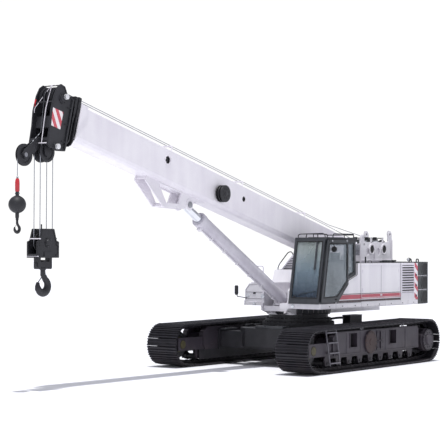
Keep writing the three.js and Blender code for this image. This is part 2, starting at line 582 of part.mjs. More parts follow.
const reelAt = { t: 5420, s: -70 };
const reelDisc = (from, to, r, sides) =>
  bar("y", base.half + from, base.half + to, reelAt.t, reelAt.s, r, sides);
const reel = join(
  reelDisc(gap, 60, 60, 20), reelDisc(40, 62, 195, 28), reelDisc(60, 108, 145, 24),
  reelDisc(106, 124, 195, 28), reelDisc(122, 176, 145, 24), reelDisc(174, 200, 195, 28));
part(boom, "hose_reel", reel, paint.black);

const reach = [[0, 0], [120, base.front + 85], [270, base.front + 175], [420, base.front + 260]];
const collarAt = [0, base.front + 12, base.front + 100];
for (const n of [1, 2, 3]) {
  const [half, deep, chamfer] = sized(n);
  const [t0, t1] = reach[n];
  const outer = [half + nest - base.wall, deep + nest - base.wall];
  const pads = join(
    both.map((s) => box(t0 + 20, t0 + 300, -half + 110, half - 110, ...span(s, deep - 4, outer[1] - gap))),
    both.map((s) => box(t0 + 20, t0 + 300, ...span(s, half - 4, outer[0] - gap), -90, 90)));
  const bits = [hollow(half, deep, chamfer, base.wall, t0, t1), pads];
  if (n < 3) {
    const c0 = collarAt[n], c1 = c0 + 72, high = base.deep + 165 - n * 12;
    bits.push(
      cut(plateYZ(ring(base.half + 22 - n * 14, high, base.chamfer), c0, c1).intersect(slanted(c0, c1, 45)),
        plateYZ(ring(half - 4, deep - 4, chamfer), c0 - 5, c1 + 5)),
      frontPads(n, c0 - 60, c1));
  }
  part(boom, `boom_section_${n + 1}`, join(bits), n < 3 ? paint.black : paint.grey);
}

// ---------- boom head ----------
const headWide = 250, headPlate = 26;
const [tipHalf, tipDeep, tipChamfer] = sized(3);
const headRearT = base.front + 192;
const headSide = [
  [10690, 430], [10860, 470], [10960, 590], [11080, 600], [11160, 520], [11215, 330], [11235, 20],
  [11190, -300], [11175, -690], [11060, -720], [10845, -720], [10640, -665], [10640, -300],
].map(([t, s]) => [t + base.front - 10430, s]);
const headPlates = both.map((s) => plateXZ(headSide, ...span(s, headWide - headPlate, headWide)));
const headRear = cut(
  box(headRearT, headRearT + 100, -headWide + 5, headWide - 5, -580, 425),
  plateYZ(ring(tipHalf + gap, tipDeep + gap, tipChamfer), headRearT - 30, reach[3][1] + gap),
  plateYZ(ring(tipHalf - 45, tipDeep - 45, 30), headRearT - 30, headRearT + 120));
const toBoom = (x, z) => {
  const dx = x - (pivot.x - axisUp * Math.sin(luffRest)), dz = z - (pivot.z + axisUp * Math.cos(luffRest));
  const c = Math.cos(luffRest), s = Math.sin(luffRest);
  return [dx * c + dz * s, -dx * s + dz * c];
};
const [auxT, auxS] = toBoom(auxHang.x, auxHang.z);
const topT = base.front + 535, topS = 335;
const jibPins = join([[base.front + 485, 385], [base.front + 488, -650]].map(([t, s]) =>
  join(both.map((k) => bar("y", ...span(k, headWide - 5, headWide + 75), t, s, 52, 20)))));
const auxArm = both.map((s) => plateXZ([
  [11040, -620], [11130, -530], [11215, -530], [auxT + 70, auxS + 90], [auxT + 90, auxS],
  [auxT, auxS - 85], [auxT - 90, auxS - 40]], ...span(s, 34, 50)));
const armTies = box(11125, 11178, -headWide + 10, headWide - 10, -600, -540);
const [lowT, lowS] = toBoom(mainHang.x, mainHang.z);
const cheekY = [112, 128];
const lowCheeks = both.map((s) => plateXZ([
  [11178, -540], [11060, -480], [10900, -520], [lowT - 105, lowS + 20], [lowT - 80, lowS - 80],
  [lowT, lowS - 110], [lowT + 80, lowS - 80], [lowT + 110, lowS]], ...span(s, ...cheekY)));
part(boom, "boom_head",
  cut(join(headPlates, headRear, jibPins, auxArm, armTies, lowCheeks,
    box(11030, 11100, -headWide + 10, headWide - 10, -300, -60)),
    bar("y", -75, 75, auxT, auxS, 45 + 3 * gap, 20)),
  paint.black);

// a rope sheave on a Y axis: a core with a cone up to the rim on each side of the groove
const grooved = (x, z, r, y, wide) => {
  const low = r - sheave.groove, root = wide / 6;
  return join(
    bar("y", y - root - 1, y + root + 1, x, z, low, 20),
    bar("y", y + root, y + wide / 2, x, z, low, 20, r),
    bar("y", y - wide / 2, y - root, x, z, r, 20, low));
};
const sheaveRow = (t, s, r, ys, reachY) => join(
  ys.map((y) => grooved(t, s, r, y, sheave.wide)),
  bar("y", -reachY + gap, reachY - gap, t, s, 55, 20));
part(boom, "head_sheaves_upper",
  sheaveRow(topT, topS, 235, [-150, -50, 50, 150], headWide - headPlate), paint.black);
part(upper, "head_sheaves_lower",
  sheaveRow(mainHang.x, mainHang.z, sheave.r, both.map((s) => (s * sheave.pitch) / 2), cheekY[0]), paint.black);
part(upper, "aux_sheave", join(
  grooved(auxHang.x, auxHang.z, sheave.r, 0, sheave.wide),
  bar("y", -60, 60, auxHang.x, auxHang.z, 45, 20)), paint.black);

// ---------- luffing cylinder, laid along its own X from the foot pin ----------
const eyeX = boom.position.x + eye.t * Math.cos(luffRest) - eye.s * Math.sin(luffRest);
const eyeZ = boom.position.z + eye.t * Math.sin(luffRest) + eye.s * Math.cos(luffRest);
const restLength = Math.hypot(eyeX - foot.x, eyeZ - foot.z);
const lift = new THREE.Group();
lift.name = "lift";
lift.position.set(foot.x, 0, foot.z);
lift.rotation.y = -Math.atan2(eyeZ - foot.z, eyeX - foot.x);
upper.add(lift);
const barrel = cut(
  join(
    bar("x", 60, cylinder.length, 0, 0, cylinder.r, 32),
    bar("y", -167.6, 167.6, 0, 0, 150, 28),
    bar("x", cylinder.length - 130, cylinder.length, 0, 0, cylinder.r + 14, 32)),
  bar("x", 320, cylinder.length - 90, 0, 0, cylinder.bore, 32),
  bar("x", cylinder.length - 100, cylinder.length + 10, 0, 0, cylinder.rod + gap, 32),
  bar("y", -200, 200, 0, 0, bore(cylinderPinR), 28));
part(lift, "lift_cylinder_barrel", barrel, paint.grey);
part(lift, "cylinder_foot_pin", bar("y", -228, 228, 0, 0, cylinderPinR, 28), paint.steel);
const rodStart = restLength - (cylinder.longest - cylinder.length + cylinder.overlap);
const rod = join(
    bar("x", rodStart, restLength - 40, 0, 0, cylinder.rod, 32),
    bar("x", rodStart, rodStart + 120, 0, 0, cylinder.bore - gap, 32),
    bar("y", -76, 76, restLength, 0, eye.r, 28),
    bar("y", -124, 124, restLength, 0, 44, 24));
part(lift, "lift_cylinder_rod", rod, paint.chrome);
part(boom, "boom_foot_pin", bar("y", -sideY - 75, sideY + 75, 0, -axisUp, footPinR, 28), paint.steel);

// ---------- main falls and hook block ----------
const hang = new THREE.Group();
hang.name = "main_hang";
hang.position.set(mainHang.x, 0, mainHang.z);
upper.add(hang);
const blockZ = block.sheaveZ - mainHang.z;
const ropeAt = sheave.r - sheave.groove + gap + ropeR;
const ropeUnder = ropeAt / Math.cos(Math.PI / 16) + 0.4;
// each fall pair runs down, under its sheave in the block and up again
const fallPair = (y) => {
  const under = [];
  for (let k = 0; k <= 8; k++) {
    const a = Math.PI + (k * Math.PI) / 8;
    under.push([ropeUnder * Math.cos(a), y, blockZ + ropeUnder * Math.sin(a)]);
  }
  return join(
    both.map((a) => bar("z", blockZ - 5, 0, a * ropeAt, y, ropeR, 8)),
    under.slice(1).map((p, i) => strut(under[i], p, ropeR, 6)));
};
part(hang, "main_falls_left", fallPair(sheave.pitch / 2), paint.rope);
part(hang, "main_falls_right", fallPair(-sheave.pitch / 2), paint.rope);

const halfWide = block.wide / 2, bottomZ = block.bottom - mainHang.z, guardZ = block.guardTop - mainHang.z;
const cheekPoints = [
  [-block.half, bottomZ], [block.half, bottomZ], [block.half, bottomZ + 320], [240, bottomZ + 345],
  [170, guardZ], [-170, guardZ], [-240, bottomZ + 345], [-block.half, bottomZ + 320],
];
const yokeZ = block.yoke - mainHang.z, yokeHigh = 120, hookNeck = 42;
const hookBlock = cut(
  join(
    both.map((s) => plateXZ(cheekPoints, ...span(s, halfWide - block.cheek, halfWide))),
    box(-block.half, block.half, -halfWide + 5, halfWide - 5, bottomZ, bottomZ + 75),
    both.map((s) => box(...span(s, 125, 200), -60, 60, yokeZ, bottomZ + 10)),
    cut(box(-200, 200, -62, 62, yokeZ, yokeZ + yokeHigh),
      bar("z", yokeZ - 5, yokeZ + yokeHigh + 5, 0, 0, hookNeck + 2, 20))),
  bar("y", -200, 200, 0, blockZ, 40 + gap, 24));
part(hang, "hook_block", hookBlock, paint.black);
part(hang, "block_sheaves", join(
  both.map((s) => grooved(0, blockZ, sheave.r, (s * sheave.pitch) / 2, sheave.wide)),
  bar("y", -halfWide - 14, halfWide + 14, 0, blockZ, 40, 24)), paint.black);

// a hook with its shank up: a bent round bar, thinner at the shank
function hook(r, thick, neck, shank, x = 0, z = 0) {
  const bend = [[x, 0, z + r * 1.9], [x, 0, z + r * 1.5]];
  for (const a of [118, 150, 190, 230, 270, 310, 350, 382]) {
    const w = THREE.MathUtils.degToRad(a);
    bend.push([x + r * Math.cos(w), 0, z + r * Math.sin(w)]);
  }
  const path = new THREE.CatmullRomCurve3(bend.map((p) => new THREE.Vector3(...p)));
  const section = new THREE.Shape(Array.from({ length: 10 }, (_, i) =>
    new THREE.Vector2(thick * Math.cos(i * Math.PI / 5), thick * Math.sin(i * Math.PI / 5))));
  const bent = new THREE.ExtrudeGeometry(section, { steps: 22, extrudePath: path, bevelEnabled: false });
  return join(toSolid(bent), bar("z", z + r * 1.8, z + shank, x, 0, neck, 14));
}
const hookZ = 1886 - mainHang.z + 202;
part(hang, "main_hook", join(
  hook(130, 70, hookNeck, yokeZ + yokeHigh + 25 - hookZ, 0, hookZ),
  bar("z", yokeZ + yokeHigh + gap, yokeZ + yokeHigh + 30, 0, 0, 60, 6)), paint.black);

// ---------- ball on the auxiliary line ----------
const auxGroup = new THREE.Group();
auxGroup.name = "aux_hang";
auxGroup.position.set(auxHang.x, 0, auxHang.z);
upper.add(auxGroup);
const lineX = ropeAt, ballZ = ball.z - auxHang.z;
part(auxGroup, "aux_line", bar("z", ballZ + ball.socket + gap, 0, lineX, 0, ropeR, 10), paint.rope);
const ballHookZ = ball.hookZ - auxHang.z + 91;
const sphere = new THREE.SphereGeometry(ball.r, 16, 10);
part(auxGroup, "hook_ball", join(
  toSolid(sphere.rotateX(Math.PI / 2).translate(lineX, 0, ballZ)),
  bar("z", ballZ + 120, ballZ + 260, lineX, 0, 36, 16),
  bar("z", ballZ + 250, ballZ + ball.socket, lineX, 0, 44, 16, 36),
  bar("z", ballZ - 270, ballZ - 120, lineX, 0, 36, 16)), paint.black);
part(auxGroup, "ball_hook", hook(64, 27, 20, ballZ - 270 - gap - ballHookZ, lineX, ballHookZ), paint.black);

machine.updateMatrixWorld(true);
const bounds = new THREE.Box3().setFromObject(machine);
crane.position.x = -(bounds.min.x + bounds.max.x) / 2;

export default machine;
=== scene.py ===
import bpy, bmesh, json, math
from math import sin, cos, pi, radians
from mathutils import Matrix, Vector


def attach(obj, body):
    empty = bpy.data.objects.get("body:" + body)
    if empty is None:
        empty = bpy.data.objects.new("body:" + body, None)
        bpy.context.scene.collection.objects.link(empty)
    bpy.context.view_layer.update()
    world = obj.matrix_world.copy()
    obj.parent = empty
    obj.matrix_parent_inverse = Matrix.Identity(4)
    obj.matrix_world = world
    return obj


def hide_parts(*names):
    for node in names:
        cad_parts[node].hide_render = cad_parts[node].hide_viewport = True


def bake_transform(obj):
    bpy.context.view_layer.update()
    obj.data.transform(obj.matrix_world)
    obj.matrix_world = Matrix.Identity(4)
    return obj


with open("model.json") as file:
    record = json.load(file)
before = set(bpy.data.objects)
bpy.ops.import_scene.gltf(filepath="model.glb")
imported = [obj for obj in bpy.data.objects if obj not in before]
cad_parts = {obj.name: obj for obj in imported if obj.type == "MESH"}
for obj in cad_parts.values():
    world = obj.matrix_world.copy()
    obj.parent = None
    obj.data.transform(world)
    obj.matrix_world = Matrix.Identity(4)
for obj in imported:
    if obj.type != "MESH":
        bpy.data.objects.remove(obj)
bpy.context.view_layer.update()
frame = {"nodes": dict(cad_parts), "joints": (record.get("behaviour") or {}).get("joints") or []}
joints = {j["name"]: j for j in frame["joints"]}
print("frame loaded:", len(frame["nodes"]), "nodes")

# where the groups of the crane stand at rest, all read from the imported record
swingX = joints["swing"]["pos_m"][0]
along = Vector(joints["telescope"]["axis"]).normalized()
across = Vector((0, 1, 0))
upward = along.cross(across)


# the matrix that puts something drawn along X at origin, along way
def placed(origin, way):
    side = across
    top = way.cross(side)
    return Matrix.Translation(origin) @ Matrix((way, side, top)).transposed().to_4x4()


craneAt = Matrix.Translation((swingX, 0, 0))
boomAt = placed(Vector(joints["boom_luff"]["pos_m"]) + upward * 0.25, along)
liftAt = placed(Vector(joints["lift_barrel_pivot"]["pos_m"]),
    Vector(joints["lift_rod_slide"]["axis"]).normalized())
mainHangAt = Matrix.Translation(joints["main_hook_hang"]["pos_m"])
auxHangAt = Matrix.Translation(joints["aux_hook_hang"]["pos_m"])

# camera, light and floor
shot = {"place": (27.651, 19.702, 2.821), "yaw": 215.69, "pitch": 1.06, "roll": 0.24, "lens": 117.13}
light = {"sunFrom": (0.42, 0.31, 2.6), "sunPower": 2.6, "sunSize": 1.6, "skyPower": 0.62, "backdrop": 1.05}


def setCamera():
    data = bpy.data.cameras.new("camera")
    data.sensor_width, data.lens, data.clip_end = 36, shot["lens"], 400
    cam = bpy.data.objects.new("camera", data)
    bpy.context.scene.collection.objects.link(cam)
    yaw, pitch, roll = (radians(shot[k]) for k in ("yaw", "pitch", "roll"))
    ahead = Vector((cos(yaw) * cos(pitch), sin(yaw) * cos(pitch), sin(pitch)))
    right = ahead.cross(Vector((0, 0, 1))).normalized()
    top = right.cross(ahead)
    r = right * cos(roll) + top * sin(roll)
    u = top * cos(roll) - right * sin(roll)
    cam.matrix_world = Matrix.Translation(shot["place"]) @ Matrix((r, u, -ahead)).transposed().to_4x4()
    bpy.context.scene.camera = cam


def hexColor(text):
    out = []
    for i in (0, 2, 4):
        c = int(text[i:i + 2], 16) / 255
        out.append(c / 12.92 if c <= 0.04045 else ((c + 0.055) / 1.055) ** 2.4)
    return (*out, 1.0)


def setLight():
    world = bpy.data.worlds.new("softbox")
    world.use_nodes = True
    back = world.node_tree.nodes["Background"]
    setInputs(back, {"Color": hexColor("eef0f8"), "Strength": light["skyPower"]})
    plain = world.node_tree.nodes.new("ShaderNodeBackground")
    setInputs(plain, {"Color": (1, 1, 1, 1), "Strength": light["backdrop"]})
    rays = world.node_tree.nodes.new("ShaderNodeLightPath")
    both = world.node_tree.nodes.new("ShaderNodeMixShader")
    link = world.node_tree.links.new
    link(rays.outputs["Is Camera Ray"], both.inputs[0])
    link(back.outputs[0], both.inputs[1])
    link(plain.outputs[0], both.inputs[2])
    link(both.outputs[0], world.node_tree.nodes["World Output"].inputs["Surface"])
    bpy.context.scene.world = world
    sun = bpy.data.lights.new("sun", "SUN")
    sun.energy, sun.angle = light["sunPower"], radians(light["sunSize"])
    lamp = bpy.data.objects.new("sun", sun)
    lamp.rotation_euler = Vector(light["sunFrom"]).to_track_quat("Z", "Y").to_euler()
    bpy.context.scene.collection.objects.link(lamp)
    bpy.context.scene.view_settings.view_transform = "Standard"


# materials
def setInputs(node, values):
    for socket, value in values.items():
        node.inputs[socket].default_value = value


def noiseNode(nt, place, scale, detail, rough=0.55, stretch=None):
    n = nt.nodes.new("ShaderNodeTexNoise")
    setInputs(n, {"Scale": scale, "Detail": detail, "Roughness": rough})
    if stretch:
        m = nt.nodes.new("ShaderNodeMapping")
        m.inputs["Scale"].default_value = stretch
        nt.links.new(place, m.inputs["Vector"])
        place = m.outputs["Vector"]
    nt.links.new(place, n.inputs["Vector"])
    return n.outputs["Fac"]


def spread(nt, value, low, high, to0=0.0, to1=1.0):
    n = nt.nodes.new("ShaderNodeMapRange")
    for k, v in zip(("From Min", "From Max", "To Min", "To Max"), (low, high, to0, to1)):
        n.inputs[k].default_value = v
    nt.links.new(value, n.inputs["Value"])
    return n.outputs["Result"]


def mathNode(nt, kind, a, b=None):
    n = nt.nodes.new("ShaderNodeMath")
    n.operation = kind
    for i, v in enumerate((a, b)):
        if v is None:
            continue
        if isinstance(v, (int, float)):
            n.inputs[i].default_value = v
        else:
            nt.links.new(v, n.inputs[i])
    return n.outputs[0]


def mixColor(nt, share, a, b):
    n = nt.nodes.new("ShaderNodeMix")
    n.data_type = "RGBA"
    nt.links.new(share, n.inputs[0])
    for i, v in ((6, a), (7, b)):
        if isinstance(v, tuple):
            n.inputs[i].default_value = v
        else:
            nt.links.new(v, n.inputs[i])
    return n.outputs[2]


def startMaterial(name):
    m = bpy.data.materials.new(name)
    m.use_nodes = True
    nt = m.node_tree
    place = nt.nodes.new("ShaderNodeTexCoord").outputs["Object"]
    return m, nt, place, nt.nodes["Principled BSDF"]


def addBump(nt, shader, height, strength, distance):
    b = nt.nodes.new("ShaderNodeBump")
    setInputs(b, {"Strength": strength, "Distance": distance})
    nt.links.new(height, b.inputs["Height"])
    nt.links.new(b.outputs["Normal"], shader.inputs["Normal"])


def paint(name, color, shade, rough, metal=0.0, coat=0.0, streaks=0.5, grain=260.0, dust=None,
        dustTop=1.0, bump=0.15):
    # clouds of a second shade, faint streaks down it, orange peel and dust low down
    m, nt, place, shader = startMaterial(name)
    clouds = noiseNode(nt, place, 0.9, 5.0)
    runs = noiseNode(nt, place, 5.0, 3.0, 0.5, (1, 1, 0.12))
    share = spread(nt, mathNode(nt, "ADD", mathNode(nt, "MULTIPLY", clouds, 1 - streaks),
        mathNode(nt, "MULTIPLY", runs, streaks)), 0.35, 0.68)
    color = mixColor(nt, share, hexColor(color), hexColor(shade))
    if dust:
        parts = nt.nodes.new("ShaderNodeSeparateXYZ")
        nt.links.new(place, parts.inputs[0])
        low = spread(nt, parts.outputs["Z"], 0.0, dustTop, 1.0, 0.0)
        patches = spread(nt, noiseNode(nt, place, 3.2, 8.0, 0.65), 0.42, 0.7)
        color = mixColor(nt, mathNode(nt, "MULTIPLY", low, patches), color, hexColor(dust))
    nt.links.new(color, shader.inputs["Base Color"])
    fine = noiseNode(nt, place, grain, 2.0)
    nt.links.new(spread(nt, noiseNode(nt, place, 2.3, 6.0, 0.6), 0.3, 0.7, *rough),
        shader.inputs["Roughness"])
    setInputs(shader, {"Metallic": metal, "Coat Weight": coat, "Coat Roughness": 0.12})
    addBump(nt, shader, fine, bump, 0.002)
    return m


def stripePaint(name, first, second, way, width):
    m, nt, place, shader = startMaterial(name)
    dot = nt.nodes.new("ShaderNodeVectorMath")
    dot.operation = "DOT_PRODUCT"
    dot.inputs[1].default_value = way
    nt.links.new(place, dot.inputs[0])
    band = mathNode(nt, "GREATER_THAN", mathNode(nt, "FRACT",
        mathNode(nt, "DIVIDE", dot.outputs["Value"], width * 2)), 0.5)
    worn = spread(nt, noiseNode(nt, place, 40.0, 6.0), 0.3, 0.8, 0.0, 0.35)
    color = mixColor(nt, band, hexColor(first), hexColor(second))
    nt.links.new(mixColor(nt, worn, color, hexColor("c9bfc4")), shader.inputs["Base Color"])
    shader.inputs["Roughness"].default_value = 0.4
    return m


def wireRope(name, low="74767c", high="cfd1d8"):
    m, nt, place, shader = startMaterial(name)
    wave = nt.nodes.new("ShaderNodeTexWave")
    wave.bands_direction = "DIAGONAL"
    setInputs(wave, {"Scale": 28.0, "Distortion": 0.6})
    nt.links.new(place, wave.inputs["Vector"])
    nt.links.new(mixColor(nt, wave.outputs["Fac"], hexColor(low), hexColor(high)),
        shader.inputs["Base Color"])
    setInputs(shader, {"Metallic": 0.75, "Roughness": 0.42})
    addBump(nt, shader, wave.outputs["Fac"], 0.5, 0.004)
    return m


# glass whose base colour, shown at partial alpha, is its tint and a painted sky reflection together; the
# paler noise patches are painted reflection
def tintedGlass(name, color, alpha):
    m, nt, place, shader = startMaterial(name)
    paintedReflection = spread(nt, noiseNode(nt, place, 1.3, 3.0, 0.5, (1, 1, 0.6)), 0.35, 0.7)
    nt.links.new(mixColor(nt, paintedReflection, hexColor(color), hexColor("a3adb4")), shader.inputs["Base Color"])
    setInputs(shader, {"Roughness": 0.04, "IOR": 1.5, "Alpha": alpha, "Specular IOR Level": 0.8})
    return m


# cab glass painted dark at z0, painted shade of the cab behind it, and pale at z1, a painted reflection of
# the sky
def shadedGlass(name, low, middle, high, z0, z1, alpha):
    m, nt, place, shader = startMaterial(name)
    parts = nt.nodes.new("ShaderNodeSeparateXYZ")
    nt.links.new(place, parts.inputs[0])
    rise = spread(nt, parts.outputs["Z"], z0, (z0 + z1) / 2)
    sky = spread(nt, parts.outputs["Z"], (z0 + z1) / 2, z1)
    lower = mixColor(nt, rise, hexColor(low), hexColor(middle))
    paintedReflection = spread(nt, noiseNode(nt, place, 2.2, 3.0, 0.5, (1, 1, 0.5)), 0.3, 0.75)
    tinted = mixColor(nt, paintedReflection, hexColor("8f9c94"), hexColor(high))
    nt.links.new(mixColor(nt, sky, lower, tinted), shader.inputs["Base Color"])
    setInputs(shader, {"Roughness": 0.05, "Alpha": alpha, "Specular IOR Level": 0.7})
    return m


def weave(name, color, thread):
    m, nt, place, shader = startMaterial(name)
    sets = []
    for direction in ("X", "Z"):
        w = nt.nodes.new("ShaderNodeTexWave")
        w.bands_direction = direction
        setInputs(w, {"Scale": 70.0, "Distortion": 0.8})
        nt.links.new(place, w.inputs["Vector"])
        sets.append(w.outputs["Fac"])
    cloth = mathNode(nt, "MULTIPLY", *sets)
    tone = mathNode(nt, "ADD", mathNode(nt, "MULTIPLY", cloth, 0.7),
        mathNode(nt, "MULTIPLY", noiseNode(nt, place, 14.0, 6.0), 0.4))
    nt.links.new(mixColor(nt, tone, hexColor(color), hexColor(thread)), shader.inputs["Base Color"])
    setInputs(shader, {"Roughness": 0.88, "Sheen Weight": 0.3})
    addBump(nt, shader, cloth, 0.5, 0.002)
    return m


def glowLens(name, color, deep):
    m, nt, place, shader = startMaterial(name)
    ribs = noiseNode(nt, place, 60.0, 1.0, 0.5, (1, 0.1, 1))
    nt.links.new(mixColor(nt, spread(nt, ribs, 0.4, 0.6), hexColor(color), hexColor(deep)),
        shader.inputs["Base Color"])
    setInputs(shader, {"Roughness": 0.12, "Coat Weight": 0.6})
    return m


white = paint("craneWhite", "edebef", "dedbe2", (0.28, 0.42), coat=0.25, dust="cdc9cc",
    dustTop=1.7, bump=0.06)
pale = paint("panelWhite", "e7e4ec", "d7d2dc", (0.34, 0.5), coat=0.15, dust="bdb4bc", dustTop=1.9, bump=0.06)
boomWhite = paint("boomWhite", "f0edf2", "e0dbe4", (0.3, 0.42), coat=0.2, streaks=0.3, bump=0.05)
grey = paint("cylinderGrey", "d4d1d9", "bcb8c3", (0.34, 0.48), coat=0.1)
charcoal = paint("cabCharcoal", "3a3d42", "2e3135", (0.38, 0.52), coat=0.1, dust="4d4b4e", dustTop=2.1)
black = paint("satinBlack", "1c1c20", "26262b", (0.4, 0.58), dust="343136", dustTop=1.2)
headBlack = paint("headBlack", "222226", "2d2d33", (0.42, 0.6))
trackSteel = paint("trackSteel", "1f1e23", "2c2a31", (0.42, 0.62), metal=0.35, grain=90, dust="3b3538",
    dustTop=0.8, bump=0.4)
frameGrey = paint("crawlerFrameGrey", "3b353e", "2e2931", (0.45, 0.6), dust="473f40", dustTop=0.8)
coverBrown = paint("coverBrown", "382120", "261818", (0.5, 0.65), dust="453a36", dustTop=0.9)
hubOlive = paint("hubOlive", "5b5638", "3d3a2c", (0.45, 0.65), metal=0.2, dust="4a4436", dustTop=0.9)
weightBlack = paint("weightPaint", "3a3d3e", "484b4b", (0.45, 0.6), grain=55, bump=0.4)
# near-black used as painted shade on dark sheets in recesses, louvres, windows, holes and gaps, and also as
# the console screen's own dark face
shadeAndScreenBlack = paint("shadeAndScreenBlack", "141416", "1b1b1e", (0.5, 0.7), grain=55)
bandRed = paint("bandRed", "bf4558", "a93a4c", (0.3, 0.42), coat=0.2)
bandMaroon = paint("bandMaroon", "3a1a22", "2b1219", (0.3, 0.42), coat=0.2)
red = paint("signalRed", "cf2f3a", "b72630", (0.3, 0.45), coat=0.2)
rubber = paint("rubber", "161618", "202022", (0.6, 0.8), grain=400)
plastic = paint("mouldedPlastic", "232428", "2d2e33", (0.5, 0.65), grain=700, bump=0.35)
steel = paint("bareSteel", "a5a6ab", "8c8d93", (0.28, 0.42), metal=0.85, grain=500)
chrome = paint("rodChrome", "e4e6ea", "d6d9de", (0.06, 0.12), metal=1.0, grain=800, bump=0.02)
seamDark = paint("seamShadow", "6e6873", "5b5560", (0.5, 0.6))
rope = wireRope("wireRope")
brightSteel = paint("brightSteel", "f2f2f4", "dcdcdf", (0.2, 0.35), metal=0.35, grain=500)
glass = tintedGlass("cabGlass", "7d888e", 0.5)
ladderGrey = paint("ladderGrey", "6d6b73", "504e56", (0.4, 0.55), dust="7b7476", dustTop=0.8)
# windshield: painted shade low on the glass, painted sky reflection high
clearGlass = shadedGlass("frontGlass", "3e4d60", "8598a4", "cdd6d8", 1.75, 2.95, 0.5)
# a darker copy of the rope: painted shade for the ropes inside the head
shadedRope = wireRope("ropePaintedShade", "3a3b40", "8b8d94")
cloth = weave("seatCloth", "1d2026", "31353d")
lampClear = glowLens("lampClear", "eef0f4", "c6cad2")
lampAmber = glowLens("lampAmber", "e08a1c", "b8650c")
lampRed = glowLens("lampRed", "b01a20", "7c0f14")
stripes = stripePaint("hazardStripes", "c8324a", "f2eef2", (0.62, 0.0, -0.78), 0.105)
headStripes = stripePaint("headHazard", "cf3446", "f7eff0", (0.913, 0.0, -0.403), 0.085)

# shapes added to one mesh
planes = {"xz": lambda u, v, w: (u, w, v), "xy": lambda u, v, w: (u, v, w), "yz": lambda u, v, w: (w, u, v)}


def addPrism(bm, points, plane, a, b, mat=0):
    put = planes[plane]
    low = [bm.verts.new(put(u, v, a)) for u, v in points]
    high = [bm.verts.new(put(u, v, b)) for u, v in points]
    n = len(points)
    faces = [bm.faces.new(low), bm.faces.new(high)]
    faces += [bm.faces.new((low[i], low[(i + 1) % n], high[(i + 1) % n], high[i])) for i in range(n)]
    for f in faces:
        f.material_index = mat


def addBox(bm, x0, x1, y0, y1, z0, z1, mat):
    addPrism(bm, [(x0, z0), (x1, z0), (x1, z1), (x0, z1)], "xz", y0, y1, mat)


# a plate with a hole: outer and inner outline have the same number of points
def addRing(bm, outer, inner, plane, a, b, mat):
    put = planes[plane]
    rows = [[bm.verts.new(put(u, v, w)) for u, v in pts] for pts,
        w in ((outer, a), (outer, b), (inner, b), (inner, a))]
    n = len(outer)
    for k in range(4):
        for i in range(n):
            j = (i + 1) % n
            bm.faces.new((rows[k][i], rows[k][j], rows[(k + 1) % 4][j],
                rows[(k + 1) % 4][i])).material_index = mat


def inset(points, d):
    out = []
    n = len(points)
    area = sum(points[i][0] * points[(i + 1) % n][1] - points[(i + 1) % n][0] * points[i][1]
        for i in range(n))
    turn = 1 if area > 0 else -1
    for i in range(n):
        p, q, r = (Vector(points[(i + k) % n]) for k in (-1, 0, 1))
        a, b = (q - p).normalized(), (r - q).normalized()
        na, nb = Vector((-a.y, a.x)) * turn, Vector((-b.y, b.x)) * turn
        out.append(tuple(q + (na + nb) * (d / max(0.2, 1 + na.dot(nb)))))
    return out


xWay, yWay, zWay = Vector((1, 0, 0)), Vector((0, 1, 0)), Vector((0, 0, 1))


# a profile that is the same from both ends, of which side is the first half
def mirrored(side, width, middle=()):
    return [*side, *middle, *((width - t, r) for t, r in reversed(side))]


# a profile of (distance, radius) turned about the way from a
def addSpun(bm, a, way, profile, sides, mat=0, closed=True):
    a = Vector(a)
    u = way.orthogonal().normalized()
    v = way.cross(u)
    rows = []
    for t, r in profile:
        if r < 1e-6:
            rows.append([bm.verts.new(a + way * t)])
        else:
            rows.append([bm.verts.new(a + way * t + (u * cos(2 * pi * i / sides) + v
                * sin(2 * pi * i / sides)) * r) for i in range(sides)])
    made = []
    for p, q in zip(rows, rows[1:]):
        for i in range(sides):
            j = (i + 1) % sides
            if len(p) == 1 and len(q) > 1:
                made.append(bm.faces.new((p[0], q[j], q[i])))
            elif len(q) == 1 and len(p) > 1:
                made.append(bm.faces.new((p[i], p[j], q[0])))
            elif len(p) > 1:
                made.append(bm.faces.new((p[i], p[j], q[j], q[i])))
    if closed:
        for row in (rows[0], rows[-1]):
            if len(row) > 1:
                made.append(bm.faces.new(row))
    for f in made:
        f.material_index = mat


def addRod(bm, a, b, r, sides, mat=0):
    along = Vector(b) - Vector(a)
    addSpun(bm, a, along.normalized(), [(0, r), (along.length, r)], sides, mat)


# a round bar along a line of points whose corners are rounded by bend
def addTube(bm, points, r, mat, bend, sides=10, steps=5, close=False):
    pts = [Vector(p) for p in points]
    path = [] if close else [pts[0]]
    span = range(len(pts)) if close else range(1, len(pts) - 1)
    for i in span:
        p, q, s = pts[i - 1], pts[i], pts[(i + 1) % len(pts)]
        d = min(bend, (q - p).length * 0.49, (s - q).length * 0.49)
        before, after = q + (p - q).normalized() * d, q + (s - q).normalized() * d
        if bend <= 0:
            path.append(q)
            continue
        for k in range(steps + 1):
            t = k / steps
            path.append(before * (1 - t) ** 2 + q * 2 * t * (1 - t) + after * t * t)
    if not close:
        path.append(pts[-1])
    clean = [path[0]]
    for p in path[1:]:
        if (p - clean[-1]).length > 1e-5:
            clean.append(p)
    path = clean
    n = len(path)
    side = None
    rows = []
    for i, p in enumerate(path):
        ahead = path[(i + 1) % n] if close or i < n - 1 else p
        back = path[i - 1] if close or i > 0 else p
        way = (ahead - back).normalized()
        side = way.orthogonal().normalized() if side is None else (side - way * side.dot(way)).normalized()
        up = way.cross(side)
        rows.append([bm.verts.new(p + (side * cos(2 * pi * k / sides) + up * sin(2 * pi * k / sides)) * r)
            for k in range(sides)])
    pairs = list(zip(rows, rows[1:] + [rows[0]] if close else rows[1:]))
    for a, b in pairs:
        for k in range(sides):
            bm.faces.new((a[k], a[(k + 1) % sides], b[(k + 1) % sides], b[k])).material_index = mat
    if not close:
        bm.faces.new(rows[0]).material_index = mat
        bm.faces.new(rows[-1]).material_index = mat


def spanY(side, a, b):
    return (a, b) if side > 0 else (-b, -a)


